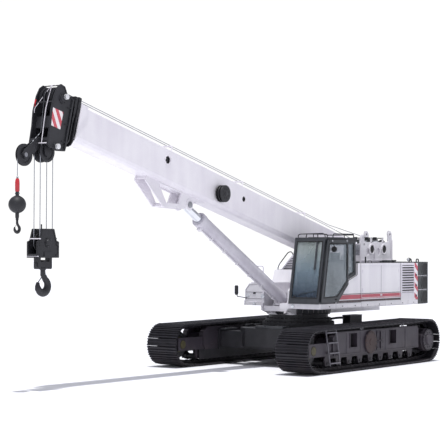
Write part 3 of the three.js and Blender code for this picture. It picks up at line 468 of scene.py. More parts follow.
# closes a mesh: places it, chamfers its edges, rides it on a body and gives it its slot
def finishPiece(name, bm, body, mats, place=craneAt, chamfer=0.0, angle=35, stands=()):
    bmesh.ops.recalc_face_normals(bm, faces=bm.faces)
    if chamfer:
        sharp = [e for e in bm.edges if len(e.link_faces) == 2 and e.calc_face_angle(0) > radians(50)
            and e.calc_length() > chamfer * 3]
        bmesh.ops.bevel(bm, geom=sharp, offset=chamfer, segments=1, affect="EDGES", clamp_overlap=True)
    mesh = bpy.data.meshes.new(name)
    bm.to_mesh(mesh)
    bm.free()
    mesh.transform(place)
    for m in mats:
        mesh.materials.append(m)
    mesh.polygons.foreach_set("use_smooth", [True] * len(mesh.polygons))
    mesh.set_sharp_from_angle(angle=radians(angle))
    mesh.update()
    o = bpy.data.objects.new(name, mesh)
    bpy.context.scene.collection.objects.link(o)
    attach(o, body)
    if stands:
        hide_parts(*stands)
    return o


# node trees for what repeats
def startTree(name, inputs):
    tree = bpy.data.node_groups.new(name, "GeometryNodeTree")
    tree.interface.new_socket("Geometry", in_out="INPUT", socket_type="NodeSocketGeometry")
    for label, kind in inputs:
        tree.interface.new_socket(label, in_out="INPUT", socket_type="NodeSocket" + kind)
    tree.interface.new_socket("Geometry", in_out="OUTPUT", socket_type="NodeSocketGeometry")
    return tree, tree.nodes.new("NodeGroupInput"), tree.nodes.new("NodeGroupOutput")


# links from a socket given by one node to a socket taken by another
def wire(tree, *links):
    for source, given, target, taken in links:
        tree.links.new(source.outputs[given], target.inputs[taken])


# the node that puts the tree's piece on points
def instancer(tree, start):
    piece = tree.nodes.new("GeometryNodeObjectInfo")
    put = tree.nodes.new("GeometryNodeInstanceOnPoints")
    wire(tree, (start, "Piece", piece, "Object"), (piece, "Geometry", put, "Instance"))
    return put


def endTree(tree, source, start, end):
    real = tree.nodes.new("GeometryNodeRealizeInstances")
    finish = tree.nodes.new("GeometryNodeSetMaterial")
    tree.links.new(source, real.inputs["Geometry"])
    wire(tree, (real, "Geometry", finish, "Geometry"), (start, "Finish", finish, "Material"),
        (finish, "Geometry", end, "Geometry"))


# pieces set along a closed or open line, each turned to follow it
def pathTree():
    tree, start, end = startTree("piecesAlongPath",
        [("Piece", "Object"), ("Count", "Int"), ("Finish", "Material")])
    n = tree.nodes
    curve = n.new("GeometryNodeMeshToCurve")
    even = n.new("GeometryNodeResampleCurve")
    tangent = n.new("GeometryNodeInputTangent")
    turn = n.new("FunctionNodeAxesToRotation")
    turn.primary_axis, turn.secondary_axis = "X", "Y"
    turn.inputs["Secondary Axis"].default_value = (0, 1, 0)
    put = instancer(tree, start)
    wire(tree, (start, "Geometry", curve, "Mesh"), (curve, "Curve", even, "Curve"),
        (start, "Count", even, "Count"), (even, "Curve", put, "Points"),
        (tangent, "Tangent", turn, "Primary Axis"), (turn, "Rotation", put, "Rotation"))
    endTree(tree, put.outputs["Instances"], start, end)
    return tree


# pieces in a straight row
def rowTree():
    tree, start, end = startTree("piecesInRow",
        [("Piece", "Object"), ("Count", "Int"), ("First", "Vector"), ("Step", "Vector"),
        ("Finish", "Material")])
    n = tree.nodes
    line = n.new("GeometryNodeMeshLine")
    line.mode = "OFFSET"
    put = instancer(tree, start)
    wire(tree, (start, "Count", line, "Count"), (start, "First", line, "Start Location"),
        (start, "Step", line, "Offset"), (line, "Mesh", put, "Points"))
    endTree(tree, put.outputs["Instances"], start, end)
    return tree


# bolts in a circle about the Y axis, or about Z with Tilt
def circleTree():
    tree, start, end = startTree("piecesInCircle",
        [("Piece", "Object"), ("Count", "Int"), ("Radius", "Float"), ("Centre", "Vector"), ("Tilt", "Vector"),
        ("Finish", "Material")])
    n = tree.nodes
    ring = n.new("GeometryNodeMeshCircle")
    put = instancer(tree, start)
    move = n.new("GeometryNodeTransform")
    wire(tree, (start, "Count", ring, "Vertices"), (start, "Radius", ring, "Radius"),
        (ring, "Mesh", put, "Points"), (put, "Instances", move, "Geometry"),
        (start, "Centre", move, "Translation"), (start, "Tilt", move, "Rotation"))
    endTree(tree, move.outputs["Geometry"], start, end)
    return tree


# one layer of rope on a drum
def wrapTree():
    tree, start, end = startTree("ropeOnDrum", [("Turns", "Float"), ("Radius", "Float"), ("Width", "Float"),
        ("Rope", "Float"), ("Centre", "Vector"), ("Finish", "Material")])
    n = tree.nodes
    spiral = n.new("GeometryNodeCurveSpiral")
    spiral.inputs["Resolution"].default_value = 28
    ring = n.new("GeometryNodeCurvePrimitiveCircle")
    ring.inputs["Resolution"].default_value = 7
    body = n.new("GeometryNodeCurveToMesh")
    body.inputs["Fill Caps"].default_value = True
    move = n.new("GeometryNodeTransform")
    move.inputs["Rotation"].default_value = (radians(90), 0, 0)
    wire(tree, (start, "Turns", spiral, "Rotations"), (start, "Radius", spiral, "Start Radius"),
        (start, "Radius", spiral, "End Radius"), (start, "Width", spiral, "Height"),
        (start, "Rope", ring, "Radius"), (spiral, "Curve", body, "Curve"),
        (ring, "Curve", body, "Profile Curve"), (body, "Mesh", move, "Geometry"),
        (start, "Centre", move, "Translation"))
    endTree(tree, move.outputs["Geometry"], start, end)
    return tree


trees = {"path": pathTree(), "row": rowTree(), "circle": circleTree(), "wrap": wrapTree()}


def asObject(name, bm):
    mesh = bpy.data.meshes.new(name)
    bmesh.ops.recalc_face_normals(bm, faces=bm.faces)
    bm.to_mesh(mesh)
    bm.free()
    o = bpy.data.objects.new(name, mesh)
    bpy.context.scene.collection.objects.link(o)
    return o


# runs a tree and adds what it makes to the mesh bm with material number mat
def grow(bm, treeName, finish, mat=0, base=None, place=None, **settings):
    tree = trees[treeName]
    carrier = asObject("carrier", base if base else bmesh.new())
    mod = carrier.modifiers.new("repeat", "NODES")
    mod.node_group = tree
    keys = {s.name: s.identifier for s in tree.interface.items_tree if s.in_out == "INPUT"}
    for label, value in {**settings, "Finish": finish}.items():
        mod[keys[label]] = value
    graph = bpy.context.evaluated_depsgraph_get()
    mesh = bpy.data.meshes.new_from_object(carrier.evaluated_get(graph))
    carrier.modifiers.remove(mod)
    if place is not None:
        mesh.transform(place)
    before = len(bm.faces)
    bm.from_mesh(mesh)
    bm.faces.ensure_lookup_table()
    for f in bm.faces[before:]:
        f.material_index = mat
    bpy.data.meshes.remove(mesh)
    old = carrier.data
    bpy.data.objects.remove(carrier)
    bpy.data.meshes.remove(old)


def removePattern(*objs):
    for o in objs:
        mesh = o.data
        bpy.data.objects.remove(o)
        bpy.data.meshes.remove(mesh)


# hexagon bolt heads standing out along +Z of their own
def boltPattern(r, high):
    bm = bmesh.new()
    addSpun(bm, (0, 0, -0.002), zWay, [(0, r * 1.25), (high * 0.3, r * 1.25), (high * 0.3, r),
        (high, r * 0.96)], 6)
    return asObject("boltPattern", bm)


boltSmall = boltPattern(0.016, 0.014)
boltLarge = boltPattern(0.026, 0.022)
toPlusY, toMinusY = (radians(-90), 0, 0), (radians(90), 0, 0)


def facing(side):
    return toPlusY if side > 0 else toMinusY


# bolts in a row on a side face: each stands out along side * Y
def boltRow(bm, side, first, step, count, mat):
    turn = Matrix.Rotation(facing(side)[0], 4, "X")
    back = turn.inverted()
    grow(bm, "row", black, mat, place=turn, Piece=boltSmall, Count=count, First=back @ Vector(first),
        Step=back.to_3x3() @ Vector(step))


def boltCircle(bm, side, centre, radius, count, mat):
    grow(bm, "circle", black, mat, Piece=boltSmall, Count=count, Radius=radius, Centre=Vector(centre),
        Tilt=facing(side))


def repaint(mat, *nodes):
    for name in nodes:
        mesh = frame["nodes"][name].data
        mesh.materials.clear()
        mesh.materials.append(mat)


setCamera()
setLight()

# crawlers
belt = {"shoe": 0.874, "gauge": 3.71, "pitch": 0.203, "drive": (-2.665, 0.56, 0.53),
    "idler": (2.7, 0.545, 0.495), "rear": (-2.08, 0.26, 0.26), "front": (2.13, 0.26, 0.26),
    "shoeThick": 0.052, "linkThick": 0.082, "slit": 0.013}


def beltLine(y):
    rounds = [belt[k] for k in ("drive", "rear", "front", "idler")]
    points = []
    for i in range(4):
        prev, here, after = rounds[i - 1], rounds[i], rounds[(i + 1) % 4]

        def normal(a, b):
            way = math.atan2(b[1] - a[1], b[0] - a[0])
            return way - math.acos((a[2] - b[2]) / math.hypot(b[0] - a[0], b[1] - a[1]))
        a0, a1 = normal(prev, here), normal(here, after)
        while a1 < a0:
            a1 += 2 * pi
        n = max(1, round((a1 - a0) / 0.05))
        points += [(here[0] + here[2] * cos(a0 + (a1 - a0) * k / n), y,
            here[1] + here[2] * sin(a0 + (a1 - a0) * k / n)) for k in range(n + 1)]
    return points


def shoePattern():
    half, bottom = belt["pitch"] / 2 - 0.003, -belt["shoeThick"]
    plate = belt["pitch"] / 2 - belt["slit"]
    outline = [(-plate, bottom), (plate, bottom), (plate, -0.03)]
    for c in (0.0677, 0.0, -0.0677):
        outline += [(c + 0.017, -0.03), (c + 0.009, 0.0), (c - 0.009, 0.0), (c - 0.017, -0.03)]
    outline.append((-plate, -0.03))
    wide = belt["shoe"] / 2
    bm = bmesh.new()
    addPrism(bm, outline, "xz", -wide, wide)
    low = bottom - belt["linkThick"]
    for s in (1, -1):
        y0, y1 = spanY(s, 0.085, 0.15)
        addPrism(bm, [(-half, bottom - 0.004), (half, bottom - 0.004), (half * 0.92, low),
            (half * 0.2, low + 0.022), (-half * 0.2, low + 0.022), (-half * 0.92, low)], "xz", y0, y1)
        for x in (-0.055, 0.055):
            addRod(bm, (x, s * 0.118, bottom + 0.02), (x, s * 0.118, -0.014), 0.017, 6)
    addRod(bm, (half, -0.16, low + 0.036), (half, 0.16, low + 0.036), 0.022, 6)
    return asObject("shoePattern", bm)


def makeTracks():
    pattern = shoePattern()
    for side, label in ((1, "left"), (-1, "right")):
        y = side * belt["gauge"] / 2
        line = beltLine(y)
        length = sum((Vector(line[i]) - Vector(line[i - 1])).length for i in range(len(line)))
        loop = bmesh.new()
        verts = [loop.verts.new(p) for p in line]
        for i in range(len(verts)):
            loop.edges.new((verts[i - 1], verts[i]))
        bm = bmesh.new()
        grow(bm, "path", trackSteel, base=loop, Piece=pattern, Count=round(length / belt["pitch"]))
        finishPiece("track_shoes_" + label, bm, "carbody", [trackSteel],
            stands=["track_loop_" + label])
    removePattern(pattern)


drive = {"x": -2.665, "z": 0.56, "r": 0.392, "teeth": 13, "hub": 0.288}
wheelAt = {"x": 2.7, "z": 0.545, "r": 0.357}


def makeWheels():
    for side, label in ((1, "left"), (-1, "right")):
        y = side * belt["gauge"] / 2
        bm = bmesh.new()
        gear = []
        for k in range(drive["teeth"] * 6):
            a = 2 * pi * k / (drive["teeth"] * 6)
            r = drive["r"] if k % 6 in (0, 1) else (drive["r"] - 0.028 if k % 6 in (2, 5)
                else drive["r"] - 0.042)
            gear.append((drive["x"] + r * cos(a), drive["z"] + r * sin(a)))
        addPrism(bm, gear, "xz", y - 0.045, y + 0.045, 0)
        hub = Vector((drive["x"], y, drive["z"]))
        out = Vector((0, side, 0))
        addSpun(bm, hub + out * 0.09, out, [(0, 0.27), (0.05, drive["hub"]), (0.225, drive["hub"]),
            (0.24, 0.276), (0.29, 0.276), (0.295, 0.24), (0.292, 0.15), (0.322, 0.14), (0.335, 0.125),
            (0.333, 0.0)], 40, 1)
        addSpun(bm, hub - out * 0.33, out, [(0, 0.19), (0.012, 0.213), (0.42, 0.213)], 32, 1)
        boltCircle(bm, side, hub + out * 0.383, 0.258, 24, 0)
        boltCircle(bm, side, hub + out * 0.384, 0.19, 10, 0)
        finishPiece("final_drive_" + label, bm, "carbody", [black, frameGrey],
            stands=["drive_sprocket_" + label])

        bm = bmesh.new()
        c = Vector((wheelAt["x"], y, wheelAt["z"]))
        r = wheelAt["r"]
        rim = [(0.0, 0.16), (0.0, r - 0.045), (0.01, r - 0.03), (0.055, r - 0.028), (0.058, r)]
        addSpun(bm, c - yWay * 0.14, yWay, mirrored(rim, 0.28), 44, 0)
        for s in (1, -1):
            hubAt = c + yWay * s * 0.13
            addSpun(bm, hubAt, yWay * s, [(0, 0.19), (0.03, 0.185), (0.04, 0.13), (0.12, 0.12), (0.13, 0.1),
                (0.165, 0.1), (0.17, 0.0)], 32, 1)
            for k in range(6):
                a = k * pi / 3 + 0.2
                rib = Vector((cos(a), 0, sin(a)))
                addRod(bm, hubAt + rib * 0.17, hubAt + rib * (r - 0.06), 0.022, 6, 0)
            boltCircle(bm, s, c + Vector((0, s * 0.165, 0)), 0.158, 10, 0)
        finishPiece("idler_wheel_" + label, bm, "carbody", [black, hubOlive],
            stands=["front_idler_" + label])


rollers = {"first": -1.96, "last": 2.0, "count": 9, "r": 0.088, "z": 0.2224}


def makeRollers():
    bm = bmesh.new()
    r = rollers["r"]
    side = [(0, 0.04), (0.0, 0.07), (0.02, r - 0.012), (0.07, r - 0.012), (0.08, r),
        (0.11, r), (0.115, 0.072)]
    addSpun(bm, (0, -0.19, 0), yWay, mirrored(side, 0.38), 18)
    pattern = asObject("rollerPattern", bm)
    for side, label in ((1, "left"), (-1, "right")):
        y = side * belt["gauge"] / 2
        bm = bmesh.new()
        step = (rollers["last"] - rollers["first"]) / (rollers["count"] - 1)
        grow(bm, "row", black, 0, Piece=pattern, Count=rollers["count"],
            First=(rollers["first"], y, rollers["z"]), Step=(step, 0, 0))
        for s in (1, -1):
            y0, y1 = sorted((y + s * 0.186, y + s * 0.222))
            low, high = rollers["z"] - 0.055, 0.3895
            teeth = [(-2.06, high)]
            for k in range(rollers["count"]):
                x = rollers["first"] + k * step
                teeth += [(x - 0.13, high - 0.06), (x - 0.075, low), (x + 0.075, low),
                    (x + 0.13, high - 0.06)]
            teeth += [(2.1, high)]
            addPrism(bm, teeth, "xz", y0, y1, 1)
            for k in range(rollers["count"]):
                x = rollers["first"] + k * step
                addRod(bm, (x, y + s * 0.22, rollers["z"]), (x, y + s * 0.236, rollers["z"]), 0.034, 10, 0)
        finishPiece("bottom_rollers_" + label, bm, "carbody", [black, frameGrey],
            stands=["track_rollers_" + label])
    removePattern(pattern)


def makeFrameTrim():
    face = 0.32
    for side, label in ((1, "left"), (-1, "right")):
        y = side * belt["gauge"] / 2
        bm = bmesh.new()

        def slab(x0, x1, z0, z1, a, b, mat):
            addBox(bm, x0, x1, *sorted((y + side * a, y + side * b)), z0, z1, mat)
        # round cover, and the bolted bracket beside it
        addSpun(bm, (0.22, y + side * (face + 0.03), 0.64), yWay * side,
            [(0, 0.274), (0.012, 0.274), (0.02, 0.264), (0.02, 0.09), (0.028, 0.08), (0.028, 0)], 36, 1)
        boltCircle(bm, side, (0.22, y + side * (face + 0.048), 0.64), 0.235, 14, 2)
        slab(-0.42, -0.1, 0.44, 0.9, face - 0.005, face + 0.022, 0)
        slab(-0.28, -0.24, 0.46, 0.88, face, face + 0.05, 0)
        slab(-0.40, -0.12, 0.64, 0.67, face, face + 0.05, 0)
        for x in (-0.38, -0.14):
            boltRow(bm, side, (x, y + side * (face + 0.02), 0.49), (0, 0, 0.12), 4, 2)
        # rims round the two windows, and a dark sheet set back inside each one as painted shade
        for x0 in (-1.06, 0.83):
            box = [(x0 - 0.022, 0.533), (x0 + 0.332, 0.533), (x0 + 0.332, 0.907), (x0 - 0.022, 0.907)]
            hole = [(x0, 0.555), (x0 + 0.31, 0.555), (x0 + 0.31, 0.885), (x0, 0.885)]
            addRing(bm, box, hole, "xz", *sorted((y + side * (face - 0.01), y + side * (face + 0.012))), 0)
            slab(x0 - 0.01, x0 + 0.32, 0.54, 0.9, 0.17, 0.185, 3)
        # lower edge strip, weld seams and pad on top for the carbody
        slab(-2.2, 1.8, 0.392, 0.42, face - 0.01, face + 0.016, 0)
        slab(-2.15, 1.74, 0.9, 0.93, face - 0.01, face + 0.012, 0)
        for x in (-1.55, -0.55, 0.66, 1.3):
            slab(x, x + 0.016, 0.42, 0.9, face - 0.01, face + 0.006, 0)
        # lifting rings on top
        for x in (-1.45, 0.55):
            ringAt = Vector((x, y + side * 0.29, 0.985))
            addTube(bm, [ringAt + Vector((0.05 * cos(a), 0, 0.05 * sin(a)))
                for a in [k * pi / 4 for k in range(8)]], 0.011, 4, 0.03, 8, 3, True)
            slab(x - 0.02, x + 0.02, 0.92, 0.945, 0.275, 0.305, 0)
        # ladder at the front corner, outside the idler
        a, b = (2.28, 1.0), (2.07, 0.17)
        c, d = (1.83, 1.0), (1.64, 0.17)
        lad = y + side * (face + 0.03)
        for p, q in ((a, b), (c, d)):
            addTube(bm, [(p[0], lad, p[1]), (q[0], lad, q[1])], 0.0165, 5, 0)
            addTube(bm, [(p[0], lad, p[1]), (p[0] - 0.03, y + side * 0.24, p[1] + 0.0)], 0.0165, 5, 0)
        for k in range(4):
            t = 0.07 + k * 0.285
            x0, z0 = a[0] + (b[0] - a[0]) * t, a[1] + (b[1] - a[1]) * t
            x1, z1 = c[0] + (d[0] - c[0]) * t, c[1] + (d[1] - c[1]) * t
            addPrism(bm, [(x0, z0 - 0.015), (x0, z0 + 0.015), (x1, z1 + 0.015), (x1, z1 - 0.015)], "xz",
                *sorted((lad - side * 0.03, lad + side * 0.03)), 5)
        for x, z in ((1.72, 0.5), (1.8, 0.86)):
            addTube(bm, [(x, lad, z), (x, y + side * 0.31, z)], 0.014, 5, 0)
        # guard behind the rollers on the inner side
        addBox(bm, -2.1, 2.02, *sorted((y - side * 0.256, y - side * 0.268)), 0.15, 0.42, 2)
        # track tensioner seen behind the idler fork
        addRod(bm, (1.86, y, 0.545), (2.3, y, 0.545), 0.075, 20, 4)
        # inner face: travel motor hoses and plates
        inner = -face
        for low in (0.5, 0.8):
            slab(-1.9, 1.6, low, low + 0.02, inner + 0.005, inner - 0.012, 0)
        for z0, z1, z2 in ((0.62, 0.7, 0.66), (0.56, 0.64, 0.62)):
            hose = ((-2.5, 0.36, z0), (-2.2, 0.37, z1), (-1.6, 0.36, z1), (-1.2, 0.345, z2))
            addTube(bm, [(x, y - side * off, z) for x, off, z in hose], 0.016, 2, 0.12)
        finishPiece("crawler_trim_" + label, bm, "carbody",
            [frameGrey, coverBrown, black, shadeAndScreenBlack, steel, ladderGrey], chamfer=0.003)


makeTracks()
makeWheels()
makeRollers()
makeFrameTrim()
repaint(frameGrey, "crawler_frame_left", "crawler_frame_right")
print("crawlers done")

# carbody and swing bearing
bearing = {"boltRings": ((44, 0.785, 1.15), (36, 0.865, 1.06))}


# (share of the bearing's edge, sideways, height) at each bend
carbodyHoses = (((1, 0.7, 0.94), (1, 1.0, 0.955), (1.3, 1.2, 0.8), (1.6, 1.5, 0.74)),
    ((0.9, 0.7, 0.94), (0.9, 1.03, 0.96), (1.2, 1.24, 0.78), (1.5, 1.5, 0.7)))


def makeCarbodyTrim():
    bm = bmesh.new()
    for count, radius, z in bearing["boltRings"]:
        grow(bm, "circle", black, 0, Piece=boltLarge, Count=count, Radius=radius,
            Centre=(0, 0, z), Tilt=(0, 0, 0))
    addSpun(bm, (0, 0, 1.09), zWay, [(0, 0.818), (0, 0.835), (0.02, 0.835), (0.02, 0.818)], 60, 0, False)
    for s in (1, -1):
        # top plates with bolts where the beams meet the crawlers, and the gauge cylinders between
        for x in (1.04, -1.04):
            y0, y1 = spanY(s, 1.30, 1.50)
            addBox(bm, x - 0.24, x + 0.24, y0, y1, 0.855, 0.89, 1)
            for boltY in (1.36, 1.45):
                grow(bm, "row", black, 0, Piece=boltLarge, Count=4, First=(x - 0.18, s * boltY, 0.888),
                    Step=(0.12, 0, 0))
        for x in (0.45, -0.45):
            addRod(bm, (x, s * 0.95, 0.66), (x, s * 1.5, 0.66), 0.055, 20, 2)
            addRod(bm, (x, s * 0.9, 0.66), (x, s * 1.3, 0.66), 0.08, 20, 1)
        for x in (0.6, -0.6):
            for hose in carbodyHoses:
                addTube(bm, [(x * k, s * y, z) for k, y, z in hose], 0.018, 3, 0.1)
    # valve box and step plates on the carbody
    addBox(bm, -1.42, -1.05, -0.5, 0.1, 0.931, 1.04, 1)
    addBox(bm, 1.05, 1.4, -0.35, 0.45, 0.931, 0.985, 1)
    addBox(bm, 1.255, 1.29, -0.7, 0.7, 0.5, 0.8, 1)
    # tall box on the rear beam and a pipe from it to the bearing
    addBox(bm, -1.39, -0.8, 0.8, 1.02, 0.79, 1.205, 0)
    addBox(bm, -1.395, -0.795, 0.79, 1.03, 1.19, 1.215, 1)
    addTube(bm, [(-0.8, 0.9, 1.15), (-0.4, 0.9, 1.16), (-0.2, 0.83, 1.14)], 0.03, 0, 0.1)
    for s in (1, -1):
        addBox(bm, 0.2, 0.9, *spanY(s, 0.93, 1.0), 0.931, 0.99, 0)
    grow(bm, "row", black, 0, Piece=boltLarge, Count=6, First=(1.1, -0.28, 0.983), Step=(0, 0.13, 0))
    finishPiece("carbody_fittings", bm, "carbody",
        [black, charcoal, chrome, rubber], chamfer=0.003)


makeCarbodyTrim()
repaint(black, "carbody_frame", "swing_bearing")
print("carbody done")

# deck and left housing
deckAt = {"sill": 1.433, "top": 1.553, "half": 1.517, "front": 1.42, "rightFront": 0.2}
luffPin = {"x": -1.434, "z": 2.643}
mastPin = {"x": -3.955, "z": 3.285}
leftBands = ((-2.5, 1.645, 1.75, 0.615, 0.50, 1), (-2.5, 1.762, 1.778, 0.475, 0.455, 2),
    (-2.5, 1.572, 1.622, 0.66, 0.637, 2), (-0.5, 1.556, 1.568, 0.68, 0.665, 3))
leftBox = {"top": 2.519, "y": 1.517}


def makeLeftHousing():
    bm = bmesh.new()
    y, out = leftBox["y"], leftBox["y"] + 0.0035
    # painted bands, cut at the fairing's slope
    for rear, low, high, lowFront, highFront, mat in leftBands:
        addPrism(bm, [(rear, low), (lowFront, low), (highFront, high), (rear, high)], "xz",
            y + 0.0005, out, mat)
    # seams between the doors and round the panels
    for x in (-0.47, -2.5):
        addBox(bm, x - 0.006, x + 0.006, y - 0.001, out, 1.556, 2.515, 4)
    addBox(bm, -2.5, -0.47, y - 0.001, out, 1.60, 1.604, 4)
    panel = [(-2.46, 1.66), (-0.51, 1.66), (-0.51, 2.47), (-2.46, 2.47)]
    addRing(bm, panel, inset(panel, 0.012), "xz", y - 0.001, y + 0.005, 5)
    addBox(bm, -1.49, -1.484, y - 0.001, out, 1.79, 2.47, 4)
    for x in (-0.56, -2.4):
        for z in (1.86, 2.32):
            addRod(bm, (x, y + 0.005, z - 0.04), (x, y + 0.005, z + 0.04), 0.008, 8, 5)
    addBox(bm, -1.53, -1.44, y, y + 0.01, 1.7, 1.735, 5)
    # fairing's edge along the cab door
    addTube(bm, [(0.655, y + 0.003, 1.64), (0.135, y + 0.003, 2.085), (0.1, y + 0.003, 2.11),
        (-0.3, y + 0.003, 2.235), (-0.3, y + 0.003, 2.515)], 0.008, 3, 0.02, 6)
    # louvred air inlet: a frame with slats over a flat dark sheet that is painted shade in the recess
    hole = [(-3.2, 1.75), (-2.57, 1.75), (-2.57, 2.46), (-3.2, 2.46)]
    addRing(bm, [(-3.235, 1.715), (-2.535, 1.715), (-2.535, 2.495), (-3.235, 2.495)], hole, "xz",
        y - 0.001, y + 0.014, 5)
    addBox(bm, -3.2, -2.57, y - 0.0005, y + 0.001, 1.75, 2.46, 7)
    slat = bmesh.new()
    addPrism(slat, [(0.0, -0.004), (0.022, -0.03), (0.026, -0.027), (0.004, 0.004)], "yz", -0.315, 0.315)
    pattern = asObject("slatPattern", slat)
    grow(bm, "row", pale, 5, Piece=pattern, Count=11, First=(-2.885, y - 0.004, 1.79), Step=(0, 0, 0.065))
    removePattern(pattern)
    # roof: handles, non-slip strips and a low rail
    top = leftBox["top"]
    for x in (-1.0, -2.05):
        addTube(bm, [(x - 0.09, y - 0.05, top), (x - 0.09, y - 0.05, top + 0.055),
            (x + 0.09, y - 0.05, top + 0.055), (x + 0.09, y - 0.05, top)], 0.009, 3, 0.03)
    for x0, x1 in ((-3.1, -2.2), (-2.1, -1.35), (-1.25, -0.6)):
        addBox(bm, x0, x1, 0.85, 1.42, top, top + 0.004, 8)
    for x in (-1.94, -0.62):
        addTube(bm, [(x, 0.8, top), (x, 0.8, top + 0.10), (x, 0.8, top + 0.155)], 0.02, 3, 0.0, 8)
    addBox(bm, -2.3, -2.2, 1.42, 1.49, top, top + 0.07, 3)
    addBox(bm, -2.34, -2.16, 1.44, 1.48, top + 0.045, top + 0.075, 3)
    # black lamp on the rear top corner
    addRod(bm, (-3.16, 1.40, top), (-3.16, 1.40, top + 0.05), 0.012, 10, 3)
    addSpun(bm, (-3.12, 1.40, top + 0.085), -xWay,
        [(0, 0.036), (0.01, 0.046), (0.07, 0.044), (0.1, 0.02), (0.1, 0)], 20, 3)
    addSpun(bm, (-3.118, 1.40, top + 0.085), xWay, [(0, 0.036), (0.003, 0.03), (0.005, 0)], 20, 9)
    # hazard panel at the housing's rear edge, with its black clips
    addBox(bm, -3.432, -3.255, y - 0.012, y - 0.0005, 1.56, 2.515, 10)
    for z in (1.66, 1.93, 2.2):
        addRod(bm, (-3.345, y - 0.003, z), (-3.345, y + 0.012, z), 0.026, 12, 3)
    finishPiece("left_housing_panels", bm, "upper_works",
        [white, bandRed, bandMaroon, black, seamDark, pale, steel, shadeAndScreenBlack, rubber, lampClear,
        stripes], chamfer=0.0)


def makeDeckTrim():
    bm = bmesh.new()
    half, sill, top = deckAt["half"], deckAt["sill"], deckAt["top"]
    for s in (1, -1):
        front = deckAt["front"] if s > 0 else deckAt["rightFront"]
        addBox(bm, -3.43, front, *spanY(s, half - 0.001, half + 0.004), sill + 0.014, sill + 0.02, 1)
        for x in (-2.9, -1.7, -0.5) + ((0.7,) if s > 0 else ()):
            addBox(bm, x - 0.004, x + 0.004, *spanY(s, half - 0.001, half + 0.0035),
                sill + 0.005, top - 0.004, 1)
        boltRow(bm, s, (-3.2, s * half, sill + 0.055), (0.6, 0, 0), 8 if s > 0 else 6, 2)
        # ribs inside the foot plates and a rim round each
        addBox(bm, -2.36, -2.3, *spanY(s, 0.389, 0.42), 1.56, 2.3, 0)
        addBox(bm, -1.46, -1.41, *spanY(s, 0.389, 0.425), 1.56, 2.5, 0)
        addSpun(bm, (luffPin["x"], s * 0.388, luffPin["z"]), yWay * s,
            [(0, 0.14), (0.03, 0.135), (0.03, 0.07)], 28, 0, False)
        addSpun(bm, (luffPin["x"], s * 0.42, luffPin["z"]), yWay * s,
            [(0, 0.088), (0.014, 0.085), (0.018, 0.0)], 24, 3)
        boltCircle(bm, s, (luffPin["x"], s * 0.425, luffPin["z"]), 0.068, 6, 2)
        addSpun(bm, (0.6, s * 0.214, 1.55), yWay * s, [(0, 0.125), (0.02, 0.12), (0.02, 0.078)], 28, 0, False)
        # hydraulic lines along the lugs
        addTube(bm, [(0.35, s * 0.12, 1.4), (0.1, s * 0.14, 1.5), (-0.5, s * 0.16, 1.6),
            (-1.1, s * 0.18, 2.1), (-1.3, s * 0.2, 2.3)], 0.02, 4, 0.18)
        addTube(bm, [(0.35, s * 0.07, 1.38), (0.1, s * 0.09, 1.47), (-0.5, s * 0.11, 1.56),
            (-1.1, s * 0.13, 2.02), (-1.3, s * 0.15, 2.2)], 0.016, 4, 0.18)
    # lamps in the ends of the sills
    for x, y in ((1.40, 0.75), (0.18, -1.2)):
        addSpun(bm, (x, y, 1.49), xWay, [(0, 0.02), (0.01, 0.045), (0.035, 0.05), (0.042, 0.042),
            (0.044, 0)], 20, 5)
    addBox(bm, 1.3, 1.418, 0.42, 0.6, deckAt["top"], 1.565, 6)
    # front ends of the foot plates, the plate that ties them and its lamp
    ends = [(0.43, 1.695), (0.60, 1.90), (0.98, 1.90), (1.03, 1.84), (1.03, 1.38), (0.80, 1.38)]
    for s in (1, -1):
        addPrism(bm, ends, "xz", *spanY(s, 0.344, 0.392), 0)
    addBox(bm, 1.0, 1.02, -0.35, 0.35, 1.34, 1.47, 0)
    addSpun(bm, (1.02, -0.367, 1.7), xWay, [(0, 0.03), (0.02, 0.055), (0.04, 0.06), (0.05, 0.05),
        (0.054, 0)], 20, 5)
    # lifting eyes at the top of the winch plates
    for s in (1, -1):
        for y, way in ((0.344, -1), (0.376, 1)):
            addSpun(bm, (mastPin["x"], s * (y - 0.001 * way), mastPin["z"]), yWay * s * way,
                [(0, 0.088), (0.009, 0.085), (0.009, 0.04)], 24, 0, False)
            addSpun(bm, (mastPin["x"], s * (y - 0.0012 * way), mastPin["z"]), yWay * s * way,
                [(0, 0.041), (0.004, 0.041), (0.004, 0)], 24, 1)
    # dark ring over the swing bearing, under the sills
    addSpun(bm, (0, 0, 1.2515), zWay, [(0, 0.6), (0, 0.79), (0.03, 0.80), (0.15, 0.80), (0.178, 0.78),
        (0.178, 0.6)], 56, 2, False)
    for k in range(36):
        a = k * pi / 18
        addBox(bm, 0.79 * cos(a) - 0.012, 0.79 * cos(a) + 0.012, 0.79 * sin(a) - 0.012,
            0.79 * sin(a) + 0.012, 1.30, 1.40, 2)
    # pump and swing drive between the plates
    addSpun(bm, (0.55, -0.28, 1.3), zWay, [(0, 0.11), (0.06, 0.11), (0.07, 0.08), (0.2, 0.08), (0.21, 0.1),
        (0.25, 0.1), (0.26, 0.06), (0.33, 0.05), (0.33, 0)], 24, 2)
    addSpun(bm, (-0.75, 0.0, 1.31), zWay, [(0, 0.2), (0.1, 0.2), (0.12, 0.15), (0.34, 0.15), (0.36, 0.18),
        (0.42, 0.18), (0.44, 0.1), (0.52, 0.09), (0.52, 0)], 28, 2)
    # grating over the walkway on the right side of the boom
    for k in range(22):
        addBox(bm, -0.6 + k * 0.085, -0.575 + k * 0.085, -0.72, -0.42, deckAt["top"], 1.567, 6)
    finishPiece("deck_fittings", bm, "upper_works",
        [white, seamDark, black, steel, rubber, lampClear, pale], chamfer=0.002)


